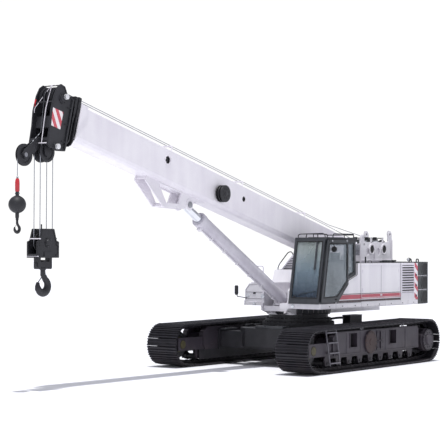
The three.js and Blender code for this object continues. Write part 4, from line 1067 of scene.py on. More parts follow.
# right side: hood, tank, tool box
def makeRightSide():
    bm = bmesh.new()
    y, top = -deckAt["half"], 2.70
    # hood: louvres outside and in front, seams, latches, rail on the roof, exhaust and air intake
    slat = bmesh.new()
    addPrism(slat, [(0.0, -0.004), (-0.022, -0.03), (-0.026, -0.027), (-0.004, 0.004)], "yz", -0.34, 0.34)
    pattern = asObject("slatPattern", slat)
    for x in (-2.86, -1.98):
        border = [(x - 0.38, 1.79), (x + 0.38, 1.79), (x + 0.38, 2.06), (x - 0.38, 2.06)]
        addRing(bm, border, inset(border, 0.035), "xz", y - 0.014, y + 0.001, 1)
        # dark sheet behind the slats: painted shade in the louvre
        addPrism(bm, inset(border, 0.035), "xz", y - 0.001, y + 0.0005, 4)
        grow(bm, "row", pale, 1, Piece=pattern, Count=3, First=(x, y + 0.004, 1.865), Step=(0, 0, 0.062))
    removePattern(pattern)
    for x in (-1.225, -2.42):
        addBox(bm, x - 0.004, x + 0.004, y - 0.003, y + 0.001, 1.56, 2.14, 3)
    addBox(bm, -3.24, -1.21, y - 0.003, y + 0.001, 2.08, 2.086, 3)
    for x in (-1.6, -2.42, -3.1):
        addBox(bm, x - 0.035, x + 0.035, y - 0.012, y, 1.68, 1.74, 2)
    for low, high, mat in ((1.645, 1.75, 5), (1.572, 1.622, 6)):
        addPrism(bm, [(-3.24, low), (-1.21, low), (-1.21, high), (-3.24, high)], "xz",
            y - 0.0035, y - 0.0005, mat)
    # front face of the hood
    face = -1.2
    grille = [(-1.26, 2.3), (-0.745, 2.3), (-0.745, 2.69), (-0.975, 2.69), (-1.26, 2.38)]
    addRing(bm, grille, inset(grille, 0.03), "yz", face - 0.001, face + 0.014, 1)
    # dark sheet behind the grille's slats: painted shade
    addPrism(bm, inset(grille, 0.03), "yz", face - 0.0005, face + 0.001, 4)
    for k in range(8):
        z = 2.325 + k * 0.044
        edge = -1.235 + max(0.0, z - 2.39) * 0.285 / 0.31
        addPrism(bm, [(face, z), (face + 0.018, z - 0.006), (face + 0.02, z + 0.012),
            (face + 0.003, z + 0.018)], "xz", edge, -0.77, 1)
    rail = top + 0.16
    addTube(bm, [(-1.3, -0.86, top + 0.01), (-1.3, -0.86, rail), (-3.1, -0.86, rail),
        (-3.1, -0.86, top + 0.01)], 0.014, 2, 0.06)
    addTube(bm, [(-2.3, -0.86, top + 0.01), (-2.3, -0.86, rail)], 0.013, 2, 0)
    addTube(bm, [(face, -1.35, 2.27), (face + 0.07, -1.38, 2.34), (face + 0.07, -1.33, 2.46),
        (face + 0.07, -1.05, 2.78), (face, -0.99, 2.8), (face - 0.03, -0.96, 2.71)], 0.0135, 2, 0.05)
    for x0, x1 in ((-3.15, -2.4), (-2.2, -1.35)):
        addBox(bm, x0, x1, -0.84, -0.755, top + 0.019, top + 0.024, 7)
    addSpun(bm, (-2.75, -0.83, top + 0.01), zWay,
        [(0, 0.07), (0.015, 0.07), (0.02, 0.06), (0.26, 0.06), (0.265, 0.05), (0.36, 0.05), (0.36, 0.042),
        (0.3, 0.042), (0.3, 0)], 28, 2)
    # tank: seams, cap, non-slip strips and a grab rail
    addBox(bm, -0.62, -0.6, y - 0.002, y + 0.01, 1.56, 2.0, 3)
    addBox(bm, -0.1, -0.095, y + 0.0255, y + 0.0275, 1.56, 1.83, 3)
    addSpun(bm, (-0.35, -1.2, 2.01), zWay, [(0, 0.085), (0.02, 0.085), (0.025, 0.07), (0.05, 0.07),
        (0.055, 0.0)], 24, 2)
    addBox(bm, -0.08, 0.16, -1.32, -1.02, 1.99, 1.994, 7)
    addBox(bm, -1.17, -1.03, -1.34, -0.86, 2.33, 2.334, 7)
    addTube(bm, [(-0.15, -1.44, 2.01), (-0.15, -1.44, 2.42), (-0.55, -1.44, 2.42),
        (-0.55, -1.44, 2.01)], 0.014, 1, 0.07)
    # front of the tool box: lid seams, lamp and latch
    face = deckAt["rightFront"]
    lid = [(-1.462, 1.60), (-0.935, 1.60), (-0.935, 1.84), (-1.01, 1.962), (-1.35, 1.962), (-1.462, 1.82)]
    addRing(bm, lid, inset(lid, 0.008), "yz", face - 0.001, face + 0.0035, 3)
    addBox(bm, face - 0.001, face + 0.004, -1.455, -0.94, 1.765, 1.773, 3)
    addBox(bm, face - 0.06, face, -0.91, -0.87, 1.62, 1.74, 0)
    addSpun(bm, (face - 0.03, -0.875, 1.68), xWay,
        [(0, 0.04), (0.03, 0.062), (0.045, 0.058), (0.05, 0)], 24, 8)
    addSpun(bm, (face, -1.4, 1.68), xWay, [(0, 0.03), (0.002, 0.05), (0.014, 0.048), (0.017, 0)], 20, 8)
    addBox(bm, face - 0.001, face + 0.012, -1.23, -1.16, 1.72, 1.765, 2)
    # mirror on an arm held out ahead of the tool box
    addTube(bm, [(face - 0.02, -1.44, 1.60), (face + 0.06, -1.49, 1.63), (face + 0.33, -1.5, 1.66),
        (face + 0.36, -1.5, 1.72), (face + 0.36, -1.5, 1.9)], 0.011, 2, 0.04)
    glassed = [(-1.53, 1.70), (-1.47, 1.70), (-1.455, 1.74), (-1.455, 1.91), (-1.47, 1.94), (-1.53, 1.94),
        (-1.545, 1.91), (-1.545, 1.74)]
    addPrism(bm, glassed, "yz", face + 0.345, face + 0.385, 2)
    addPrism(bm, inset(glassed, 0.012), "yz", face + 0.342, face + 0.346, 9)
    finishPiece("right_side_fittings", bm, "upper_works",
        [white, pale, black, seamDark, shadeAndScreenBlack, bandRed, bandMaroon, rubber, lampClear, chrome])


makeLeftHousing()
makeDeckTrim()
makeRightSide()
repaint(white, "deck_frame", "left_side_housing", "engine_hood_right", "fuel_tank", "winch_frame")
repaint(frameGrey, "engine_block")
print("deck and housings done")

# counterweight
weightAt = {"z0": 1.44, "z1": 2.54, "half": 1.517}


def makeWeightTrim():
    bm = bmesh.new()
    z0, z1, half = weightAt["z0"], weightAt["z1"], weightAt["half"]
    step = (z1 - z0) / 3
    for i in range(3):
        low, high = z0 + i * step + 0.02, z0 + (i + 1) * step - 0.018
        for s in (1, -1):
            # a flat dark patch in a raised rim near the corner stands for a recessed pocket, and a dark sheet
            # in the rear face for a lifting pocket; their darkness is painted shade
            mid = (low + high) / 2
            pocket = [(-3.915, low + 0.02), (-3.72, low + 0.02), (-3.66, low + 0.07), (-3.63, mid),
                (-3.66, high - 0.07), (-3.72, high - 0.02), (-3.915, high - 0.02), (-3.925, mid)]
            addPrism(bm, pocket, "xz", *spanY(s, half - 0.001, half + 0.003), 1)
            addRing(bm, inset(pocket, -0.022), pocket, "xz", *spanY(s, half - 0.001, half + 0.011), 0)
            # line at each slab's foot on the sides: painted shade under the bottom slab, a pale painted
            # highlight along the joints above
            addBox(bm, -3.92, -3.434, *spanY(s, half - 0.001, half + 0.002), z0 + i * step - 0.004,
                z0 + i * step + 0.006, 5 if i else 1)
            addBox(bm, -4.254, -4.249, *spanY(s, 0.35, 1.05), low + 0.03, high - 0.03, 1)
        # dark line across the rear at each slab's foot: painted shade in the gaps
        addBox(bm, -4.253, -4.249, -1.18, 1.18, z0 + i * step - 0.003, z0 + i * step + 0.004, 1)
    for s in (1, -1):
        for x in (-3.6, -4.0):
            ringAt = Vector((x, s * 1.2, z1))
            bends = ((-0.06, -0.01), (-0.06, 0.07), (0.06, 0.07), (0.06, -0.01))
            addTube(bm, [ringAt + Vector((dx, 0, dz)) for dx, dz in bends], 0.016, 0, 0.05)
        addBox(bm, -3.9, -3.5, *spanY(s, 0.4, 0.56), z1, z1 + 0.035, 0)
        addBox(bm, -4.262, -4.248, *spanY(s, 1.08, 1.16), 1.55, 1.75, 3)
        addBox(bm, -4.262, -4.248, *spanY(s, 1.08, 1.16), 1.76, 1.86, 4)
        addBox(bm, -4.256, -4.25, *spanY(s, 0.12, 0.3), 1.5, 2.5, 2)
    finishPiece("counterweight_fittings", bm, "upper_works",
        [weightBlack, shadeAndScreenBlack, stripes, lampRed, lampAmber, pale])


makeWeightTrim()
repaint(weightBlack, "counterweight_lower", "counterweight_middle", "counterweight_upper")

# winches
winch = {"y": 0.345, "main": (-3.64, 2.87, 0.262), "aux": (-2.99, 2.87, 0.248), "rope": 0.011, "turns": 24.0}


def makeDrum(name, at, node):
    x, z, r = at
    bm = bmesh.new()
    edge = winch["y"] - 0.004
    side = [(0, 0.1), (0.0, 0.13), (0.018, 0.14), (0.018, r - 0.012), (0.024, r), (0.04, r),
        (0.044, r - 0.01), (0.044, r - 0.07)]
    addSpun(bm, (x, -edge, z), yWay, mirrored(side, 2 * edge), 48, 0)
    width = 2 * (edge - 0.06)
    for under in (0.058, 0.038):
        grow(bm, "wrap", rope, 1, Turns=winch["turns"], Radius=r - under, Width=width, Rope=winch["rope"],
            Centre=(x, width / 2, z))
    finishPiece(name, bm, "upper_works", [black, rope], stands=[node])


def makeWinchTrim():
    bm = bmesh.new()
    y = winch["y"] + 0.032
    for s in (1, -1):
        for x, z, r in (winch["main"], winch["aux"]):
            addSpun(bm, (x, s * (y - 0.002), z), yWay * s,
                [(0, 0.15), (0.02, 0.147), (0.024, 0.13), (0.024, 0.108), (0.006, 0.105),
                (0.006, 0.0)], 32, 0, False)
            # dark disc in the flange's centre: painted shade in the recess
            addSpun(bm, (x, s * (y + 0.0045), z), yWay * s, [(0, 0.107), (0.004, 0.107), (0.005, 0.0)], 32, 3)
            boltCircle(bm, s, (x, s * (y + 0.019), z), 0.128, 12, 0)
        for x, z in ((-2.51, 3.15), (-3.98, 3.25)):
            addSpun(bm, (x, s * (winch["y"] - 0.006), z), yWay * s,
                [(0, 0.052), (0, 0.085), (0.012, 0.092), (0.03, 0.092), (0.042, 0.085),
                (0.042, 0.052)], 24, 0, False)
        addBox(bm, -4.06, -2.44, *spanY(s, y - 0.002, y + 0.03), 2.56, 2.585, 0)
        addBox(bm, -4.07, -4.03, *spanY(s, y - 0.002, y + 0.03), 2.56, 3.12, 0)
        addBox(bm, -3.16, -3.13, *spanY(s, y - 0.002, y + 0.028), 2.585, 3.0, 0)
    # gear motors on the right side, guard rods over the rope, hoses
    for x, z, _ in (winch["main"], winch["aux"]):
        addSpun(bm, (x, -y - 0.05, z), -yWay, [(0, 0.12), (0.08, 0.12), (0.1, 0.085), (0.24, 0.085),
            (0.25, 0.06), (0.3, 0.055), (0.3, 0)], 24, 1)
        addTube(bm, [(x, -y - 0.2, z - 0.08), (x, -y - 0.22, 2.62), (x + 0.25, -y - 0.2, 2.5),
            (x + 0.5, -y - 0.12, 2.42)], 0.018, 1, 0.12)
    for x, z, r, mat in ((-2.6, 3.0, 0.025, 0), (-3.31, 3.12, 0.018, 1)):
        addRod(bm, (x, -y, z), (x, y, z), r, 14, mat)
    for x in (-3.0, -3.62):
        for dy in (-0.12, 0.12):
            addSpun(bm, (x + 0.02, dy - 0.05, 3.165), yWay,
                [(0, 0.02), (0.0, 0.032), (0.1, 0.032), (0.1, 0.02)], 16, 1)
        addRod(bm, (x + 0.02, -y, 3.165), (x + 0.02, y, 3.165), 0.014, 12, 1)
        for s in (1, -1):
            addBox(bm, x - 0.005, x + 0.045, *spanY(s, winch["y"] + 0.004, y), 3.04, 3.185, 0)
    finishPiece("winch_fittings", bm, "upper_works", [white, black, steel, shadeAndScreenBlack])


makeDrum("main_drum", winch["main"], "main_winch_drum")
makeDrum("aux_drum", winch["aux"], "aux_winch_drum")
makeWinchTrim()
print("winches done")

# cab
cab = {"rear": -0.28, "front": 1.449, "frontTop": 1.146, "floor": 1.5534, "top": 3.134,
    "y0": 0.637, "y1": 1.485}
door = {"y": 1.553, "window": [(0.235, 2.085), (0.70, 1.715), (1.311, 1.70), (1.067, 3.0), (0.235, 3.0)]}
quarter = [(-0.205, 2.29), (0.14, 2.18), (0.14, 3.02), (-0.205, 3.02)]


def cabFront(z, out=0.0):
    return cab["front"] - (cab["front"] - cab["frontTop"]) / (cab["top"] - cab["floor"]) * (z
        - cab["floor"]) + out


def makeCabShellTrim():
    bm = bmesh.new()
    y0, y1 = cab["y0"], cab["y1"]
    # rubber round the quarter, front and right-hand glass
    addRing(bm, inset(quarter, -0.004), inset(quarter, 0.024), "xz", y1 - 0.004, y1 + 0.005, 0)
    right = [(-0.15, 2.25), (1.248, 1.95), (1.05, 3.02), (-0.15, 3.02)]
    addRing(bm, inset(right, -0.004), inset(right, 0.024), "xz", y0 - 0.005, y0 + 0.004, 0)
    for z in (1.7, 3.04):
        x = cabFront(z, -0.002)
        addTube(bm, [(x, y0 + 0.07, z), (x, y1 - 0.055, z)], 0.013, 0, 0, 8)
    for y in (y0 + 0.072, y1 - 0.058):
        addTube(bm, [(cabFront(1.7, -0.002), y, 1.7), (cabFront(3.04, -0.002), y, 3.04)], 0.013, 0, 0, 8)
    # upright strip on the front pane
    addPrism(bm, [(cabFront(z, out), z) for z, out in ((3.03, 0.003), (3.03, 0.016), (2.36, 0.016),
        (2.36, 0.003))], "xz", 1.262, 1.306, 1)
    # gutters round the roof and a seam above the sill
    back, front = cab["rear"] + 0.02, cabFront(3.13)
    gutter = [(back, y1 + 0.004), (front - 0.02, y1 + 0.004), (front - 0.002, y1 - 0.03),
        (front - 0.002, y0 + 0.03), (front - 0.02, y0 - 0.004), (back, y0 - 0.004)]
    addTube(bm, [(x, y, 3.128) for x, y in gutter], 0.011, 1, 0.02, 8)
    addBox(bm, 0.66, cabFront(1.575) - 0.005, y1 - 0.001, y1 + 0.003, 1.572, 1.578, 2)
    # wiper on the front pane
    z, y = 1.73, 0.80
    x = cabFront(z, 0.012)
    addSpun(bm, (x - 0.012, y, z), xWay, [(0, 0.026), (0.024, 0.022), (0.03, 0.0)], 14, 0)
    tip = Vector((cabFront(z + 0.09, 0.016), y + 0.36, z + 0.09))
    addTube(bm, [(x, y, z), tip], 0.006, 0, 0, 6)
    addTube(bm, [tip + Vector((0.01, -0.24, -0.05)), tip + Vector((-0.01, 0.22, 0.045))], 0.008, 0, 0, 6)
    # grab bar on the front post, hatch frame on the roof
    addTube(bm, [(cabFront(2.0, -0.06), y1, 2.0), (cabFront(2.0, -0.06), y1 + 0.022, 2.02),
        (cabFront(2.55, -0.06), y1 + 0.022, 2.53), (cabFront(2.55, -0.06), y1, 2.55)], 0.009, 0, 0.015, 8)
    hatch = [(0.10, 0.78), (0.78, 0.78), (0.78, 1.345), (0.10, 1.345)]
    addRing(bm, hatch, inset(hatch, 0.035), "xy", 3.132, 3.152, 1)
    addPrism(bm, inset(hatch, 0.034), "xy", 3.126, 3.144, 3)
    finishPiece("cab_shell_trim", bm, "upper_works", [rubber, charcoal, seamDark, glass])


def makeGuardRails():
    bm = bmesh.new()
    zTop, x0, x1, ya, yb = 3.252, -0.24, 1.086, 0.687, 1.445
    for y in (ya, yb):
        addTube(bm, [(x0, y, cab["top"]), (x0, y, zTop - 0.02), (0.70, y, zTop - 0.02),
            (0.74, y, cab["top"])], 0.013, 0, 0.035, 10)
        addTube(bm, [(0.2, y, cab["top"]), (0.2, y, zTop - 0.03)], 0.012, 0, 0, 10)
        for x in (x0, 0.2, 0.74):
            addSpun(bm, (x, y, 3.1345), zWay, [(0, 0.028), (0.008, 0.028), (0.01, 0.014)], 14, 0)
    addTube(bm, [(x0, ya, zTop - 0.04), (x0, yb, zTop - 0.04)], 0.012, 0, 0, 10)
    # higher hoop along the front edge
    addTube(bm, [(x1, ya, cab["top"]), (x1, ya, zTop - 0.05), (x1, ya + 0.06, zTop - 0.03),
        (x1, yb - 0.05, zTop - 0.013), (x1, yb, zTop - 0.05), (x1, yb, cab["top"])], 0.012, 0, 0.03, 10)
    addTube(bm, [(x1, 1.12, cab["top"]), (x1, 1.12, zTop - 0.03)], 0.011, 0, 0, 10)
    finishPiece("roof_guard", bm, "upper_works", [black], stands=["roof_guard_rail"])


def makeDoorTrim():
    bm = bmesh.new()
    y = door["y"]
    addRing(bm, inset(door["window"], -0.006), inset(door["window"], 0.022), "xz", y - 0.01, y + 0.006, 0)
    addTube(bm, [(0.265, y, 1.99), (0.265, y + 0.035, 2.0), (0.40, y + 0.035, 1.885), (0.42, y, 1.875)],
        0.009, 0, 0.02, 8)
    addBox(bm, 0.72, 0.80, y - 0.001, y + 0.012, 1.64, 1.675, 0)
    addTube(bm, [(0.275, y + 0.001, 2.35), (0.275, y + 0.032, 2.36), (0.275, y + 0.032, 2.76),
        (0.275, y + 0.001, 2.77)], 0.009, 0, 0.015, 8)
    # round mirror held at the top of the door
    addTube(bm, [(0.95, y - 0.002, 3.02), (0.95, y + 0.045, 2.99), (0.93, y + 0.06, 2.92)], 0.008, 0, 0.02, 8)
    addSpun(bm, (0.905, y + 0.06, 2.86), xWay, [(0, 0.0), (0.004, 0.05), (0.02, 0.068), (0.045, 0.072),
        (0.05, 0.066), (0.05, 0.0)], 24, 0)
    for x in (0.27, 0.95):
        addSpun(bm, (x, y + 0.01, 3.058), yWay, [(0, 0.022), (0.006, 0.024), (0.016, 0.02),
            (0.018, 0)], 14, 1)
    finishPiece("cab_door_trim", bm, "cab_door_panel", [rubber, steel])


# a crowned cushion: width across y, depth along its own x, sides pulled in between the corners
def addCushion(bm, at, size, tilt, rows=14, channels=3):
    w, d, h = size
    turn = Matrix.Translation(at) @ Matrix.Rotation(tilt, 4, "Y")
    top, low = [], []
    for i in range(rows + 1):
        u = -1 + 2 * i / rows
        topRow, lowRow = [], []
        for j in range(rows + 1):
            v = -1 + 2 * j / rows
            x = u * d / 2 * (1 - 0.05 * (1 - v * v))
            y = v * w / 2 * (1 - 0.04 * (1 - u * u))
            edge = max(0.0, 1 - max(abs(u), abs(v)) ** 6)
            seam = 0.9 + 0.1 * abs(cos(pi * (v * channels / 2)))
            high = h * (0.55 + 0.35 * (1 - u * u) * (1 - v * v) * seam + 0.12 * edge)
            topRow.append(bm.verts.new(turn @ Vector((x, y, high))))
            lowRow.append(bm.verts.new(turn @ Vector((x, y, h * 0.08 * (1 - edge)))))
        top.append(topRow)
        low.append(lowRow)
    for i in range(rows):
        for j in range(rows):
            bm.faces.new((top[i][j], top[i + 1][j], top[i + 1][j + 1], top[i][j + 1]))
            bm.faces.new((low[i][j], low[i][j + 1], low[i + 1][j + 1], low[i + 1][j]))
    edges = [(k, 0) for k in range(rows)] + [(rows, k) for k in range(rows)] + [(rows - k, rows)
        for k in range(rows)] + [(0, rows - k) for k in range(rows)]
    for k in range(len(edges)):
        (a, b), (c, e) = edges[k], edges[(k + 1) % len(edges)]
        bm.faces.new((top[a][b], top[c][e], low[c][e], low[a][b]))


seat = {"x": 0.25, "y": 1.061, "floor": 1.6034}


def makeSeat():
    x, y, z = seat["x"], seat["y"], seat["floor"]
    bm = bmesh.new()
    addBox(bm, x - 0.16, x + 0.18, y - 0.16, y + 0.16, z, z + 0.03, 0)
    for k in range(5):
        addBox(bm, x - 0.14 + k * 0.004, x + 0.16 - k * 0.004, y - 0.14 + k * 0.004, y + 0.14 - k * 0.004,
            z + 0.03 + k * 0.04, z + 0.06 + k * 0.04, 0)
    addBox(bm, x - 0.22, x + 0.24, y - 0.23, y + 0.23, z + 0.235, z + 0.275, 1)
    back = [(x - 0.225, z + 0.28), (x - 0.18, z + 0.28), (x - 0.268, z + 1.0), (x - 0.305, z + 1.0)]
    addPrism(bm, back, "xz", y - 0.22, y + 0.22, 1)
    for s in (1, -1):
        addTube(bm, [(x - 0.19, y + s * 0.27, z + 0.42), (x - 0.2, y + s * 0.28, z + 0.56),
            (x + 0.1, y + s * 0.28, z + 0.58)], 0.016, 1, 0.04, 8)
        addBox(bm, x - 0.12, x + 0.16, y + s * 0.28 - 0.035, y + s * 0.28 + 0.035, z + 0.585, z + 0.625, 1)
        addBox(bm, x + 0.16, x + 0.34, y + s * 0.30 - 0.06, y + s * 0.30 + 0.06, z + 0.52, z + 0.60, 1)
        for dx in (0.20, 0.30):
            addTube(bm, [(x + dx, y + s * 0.30, z + 0.59),
                (x + dx + 0.01, y + s * 0.30, z + 0.72)], 0.009, 1, 0, 8)
            addSpun(bm, (x + dx + 0.01, y + s * 0.30, z + 0.70), zWay,
                [(0, 0.014), (0.01, 0.022), (0.05, 0.024), (0.065, 0.014), (0.068, 0)], 14, 2)
    finishPiece("seat_base", bm, "upper_works", [rubber, plastic, black], chamfer=0.004)
    bm = bmesh.new()
    addCushion(bm, (x + 0.02, y, z + 0.275), (0.5, 0.5, 0.15), 0.0)
    cushion = finishPiece("seat_cushion", bm, "upper_works", [cloth], angle=60,
        stands=["operator_seat"])
    bm = bmesh.new()
    addCushion(bm, (x - 0.235, y, z + 0.66), (0.46, 0.64, 0.13), radians(90 - 6))
    rest = finishPiece("seat_back_pad", bm, "upper_works", [cloth], angle=60)
    bm = bmesh.new()
    addCushion(bm, (x - 0.285, y, z + 1.08), (0.26, 0.18, 0.1), radians(90 - 4), rows=10, channels=1)
    headPad = finishPiece("seat_head_pad", bm, "upper_works", [cloth], angle=60)


def makeConsole():
    bm = bmesh.new()
    y0, z = cab["y0"], seat["floor"]
    # screen, keys and dial on the right-hand console, pedals ahead of the seat
    addBox(bm, 1.02, 1.06, y0 + 0.1, y0 + 0.34, z + 0.73, z + 0.93, 0)
    addBox(bm, 1.017, 1.021, y0 + 0.115, y0 + 0.325, z + 0.75, z + 0.91, 1)
    addTube(bm, [(1.06, y0 + 0.2, z + 0.62), (1.05, y0 + 0.2, z + 0.74)], 0.02, 0, 0, 10)
    for k in range(4):
        addBox(bm, 0.86, 0.9, y0 + 0.1 + k * 0.055, y0 + 0.14 + k * 0.055, z + 0.58, z + 0.6, 2)
    for y in (0.95, 1.17):
        addPrism(bm, [(1.0, z + 0.09), (1.12, z + 0.2), (1.13, z + 0.19), (1.02, z + 0.08)], "xz",
            y - 0.05, y + 0.05, 0)
    addTube(bm, [(1.08, 1.06, z + 0.02), (1.0, 1.06, z + 0.5), (0.93, 1.06, z + 0.72)], 0.03, 0, 0.1, 12)
    ringAt = Matrix.Translation((0.93, 1.06, z + 0.73)) @ Matrix.Rotation(radians(-28), 4, "Y")
    addTube(bm, [ringAt @ Vector((0.17 * cos(a * pi / 12), 0.17 * sin(a * pi / 12), 0)) for a in range(24)],
        0.014, 0, 0.0, 8, close=True)
    for a in (0, 120, 240):
        addTube(bm, [ringAt @ Vector((0, 0, 0)), ringAt
            @ Vector((0.17 * cos(radians(a)), 0.17 * sin(radians(a)), 0))], 0.01, 0, 0, 6)
    finishPiece("console_fittings", bm, "upper_works", [plastic, shadeAndScreenBlack, seamDark])


makeCabShellTrim()
makeGuardRails()
makeDoorTrim()
makeSeat()
makeConsole()
repaint(charcoal, "cab_shell", "cab_door")
repaint(plastic, "control_console")
repaint(black, "door_runner")
repaint(glass, "quarter_glass", "cab_door_glass", "right_window_glass")
repaint(clearGlass, "windshield_glass")
print("cab done")

# boom
boom = {"restLuff": 13.8, "half": 0.268, "deep": 0.366, "front": 10.43, "ropeS": 0.549,
    "ropeY": (0.05, -0.05)}
rod = {"eye": (6.3, -0.57)}
reel = {"t": 5.42, "s": -0.07, "r": 0.195}


def makeBoomTrim():
    bm = bmesh.new()
    half, deep, front = boom["half"], boom["deep"], boom["front"]
    # plates and bolts round the holes in the sides
    for s in (1, -1):
        addSpun(bm, (7.43, s * (half - 0.002), 0.13), yWay * s,
            [(0, 0.087), (0, 0.112), (0.008, 0.112), (0.008, 0.087)], 32, 0, False)
        boltCircle(bm, s, (7.43, s * (half + 0.006), 0.13), 0.1, 8, 0)
        # weld line along the lower corner
        addBox(bm, 0.5, front - 0.02, *spanY(s, half - 0.002, half + 0.003), -0.262, -0.256, 0)
        # bracket: doubler rim and pin keeper
        rim = [(6.64, -0.4), (6.70, -0.66), (7.12, -0.745), (7.42, -0.47), (7.42, -0.4)]
        addSpun(bm, (rod["eye"][0], s * 0.158, rod["eye"][1]), yWay * s,
            [(0, 0.06), (0, 0.13), (0.012, 0.13), (0.016, 0.1), (0.016, 0.06)], 28, 0, False)
        addSpun(bm, (rod["eye"][0], s * 0.183, rod["eye"][1]), yWay * s,
            [(0, 0.072), (0.01, 0.07), (0.014, 0.05), (0.014, 0)], 24, 2)
        addRing(bm, inset(rim, -0.028), inset(rim, -0.002), "xz", *spanY(s, 0.158, 0.166), 0)
        # foot pin plates
        addSpun(bm, (0.0, s * 0.425, -0.25), yWay * s,
            [(0, 0.03), (0.0, 0.07), (0.012, 0.068), (0.014, 0.0)], 24, 2)
    # rope guides on top
    for t in (1.6, 4.4, 7.2):
        for y in (-0.14, 0.14):
            addTube(bm, [(t, y, deep - 0.004), (t, y, deep + 0.15)], 0.014, 0, 0, 8)
        addTube(bm, [(t, -0.14, deep + 0.15), (t, 0.14, deep + 0.15)], 0.018, 0, 0, 10)
    # pipes from the foot along the far side, in clamps
    for z in (-0.02, 0.03):
        addTube(bm, [(-0.1, -half - 0.012, z - 0.12), (0.4, -half - 0.012, z), (5.2, -half - 0.012, z)],
            0.009, 3, 0.15, 8)
    for k in range(8):
        t = 0.8 + k * 0.6
        addBox(bm, t - 0.015, t + 0.015, -half - 0.026, -half + 0.001, -0.04, 0.05, 0)
    finishPiece("boom_fittings", bm, "boom_main",
        [boomWhite, black, steel, rubber], place=boomAt)


def makeReel():
    bm = bmesh.new()
    t, s, r, y = reel["t"], reel["s"], reel["r"], boom["half"]
    for a in (0.04, 0.106, 0.174):
        addSpun(bm, (t, y + a, s), yWay, [(0, 0.05), (0, r - 0.02), (0.004, r - 0.002), (0.012, r),
            (0.02, r - 0.004), (0.022, r - 0.02), (0.022, 0.05)], 40, 0)
    addSpun(bm, (t, y + 0.0005, s), yWay, [(0, 0.075), (0.012, 0.075), (0.016, 0.055), (0.2, 0.055),
        (0.205, 0.05), (0.212, 0.035), (0.212, 0)], 28, 0)
    for layer in (0.138, 0.152):
        for a in (0.062, 0.128):
            grow(bm, "wrap", rubber, 1, Turns=5.0, Radius=layer, Width=0.04, Rope=0.0055,
                Centre=(t, y + a + 0.042, s))
    # eight dark discs on the outer wheel: painted shade standing for its holes
    for k in range(8):
        a = k * pi / 4 + 0.2
        addSpun(bm, (t + 0.11 * cos(a), y + 0.194, s + 0.11 * sin(a)), yWay,
            [(0, 0.028), (0.004, 0.026), (0.005, 0)], 14, 2)
    finishPiece("hose_reel_wheels", bm, "boom_main", [black, rubber, shadeAndScreenBlack],
        place=boomAt, stands=["hose_reel"])


# hoist ropes: from the drums to the boom's heel they bend at the boom pin,
# then a length rides on each section
def makeRopes():
    s = boom["ropeS"]
    back = boomAt.inverted() @ craneAt
    starts = []
    for (x, z, _), y, up in zip((winch["main"], winch["aux"]),
            (boom["ropeY"][0] + 0.06, boom["ropeY"][1] - 0.04), (0.225, 0.211)):
        starts.append(back @ Vector((x, y, z + up)))
    bm = bmesh.new()
    for y, p in zip(boom["ropeY"], starts):
        end = Vector((0.3, y, s))
        points = [p.lerp(end, k / 40) for k in range(41)]
        addTube(bm, points, sheave["thin"], 0, 0.0, 8)
    bmesh.ops.recalc_face_normals(bm, faces=bm.faces)
    mesh = bpy.data.meshes.new("hoist_rope_lead")
    bm.to_mesh(mesh)
    bm.free()
    mesh.transform(boomAt)
    mesh.materials.append(rope)
    mesh.polygons.foreach_set("use_smooth", [True] * len(mesh.polygons))
    o = bpy.data.objects.new("hoist_rope_lead", mesh)
    bpy.context.scene.collection.objects.link(o)
    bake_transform(o)
    lengths = [("boom_main", 0.29, 10.42), ("boom_second", 2.5, 10.51), ("boom_third", 2.6, 10.6),
        ("boom_tip", 2.7, 10.965)]
    for k, (body, t0, t1) in enumerate(lengths):
        bm = bmesh.new()
        for y in boom["ropeY"]:
            addRod(bm, (t0, y, s), (t1, y, s), sheave["thin"] - k * 0.00015, 8, 0)
        finishPiece(f"hoist_rope_{body}", bm, body, [rope], place=boomAt)


def makeCollarTrim():
    for n, body, c0 in ((1, "boom_second", 10.442), (2, "boom_third", 10.53)):
        bm = bmesh.new()
        high, half = boom["deep"] + 0.165 - n * 0.012, boom["half"] + 0.022 - n * 0.014
        for s in (1, -1):
            boltRow(bm, s, (c0 + 0.057, s * half, -0.2), (0, 0, 0.16), 5, 0)
        for y in (-0.1, 0.1):
            addSpun(bm, (c0 + 0.036, y, high - 0.004), zWay, [(0, 0.03), (0.012, 0.028), (0.014, 0.0)], 16, 0)
        finishPiece(f"collar_fittings_{n}", bm, body, [black], place=boomAt)


head = {"y": 0.25, "topT": 10.965, "topS": 0.335, "topR": 0.235, "pins": [(10.915, 0.385), (10.918, -0.65)]}
sheave = {"r": 0.2, "wide": 0.052, "rope": 0.1794, "thin": 0.009}


# one rope wheel on the Y axis: hub, thin web and grooved rim
def addSheave(bm, x, y, z, r, lip=0.0):
    w = sheave["wide"]
    web = 0.016
    side = [(0.0, 0.046), (0.0, 0.07), (web, 0.076), (web, r - 0.056), (0.004, r - 0.046),
        (0.0, r + lip - 0.012), (0.003, r + lip - 0.002), (0.009, r + lip), (0.017, r - 0.026)]
    addSpun(bm, (x, y - w / 2, z), yWay, mirrored(side, w, [(w / 2, r - 0.031)]), 48)


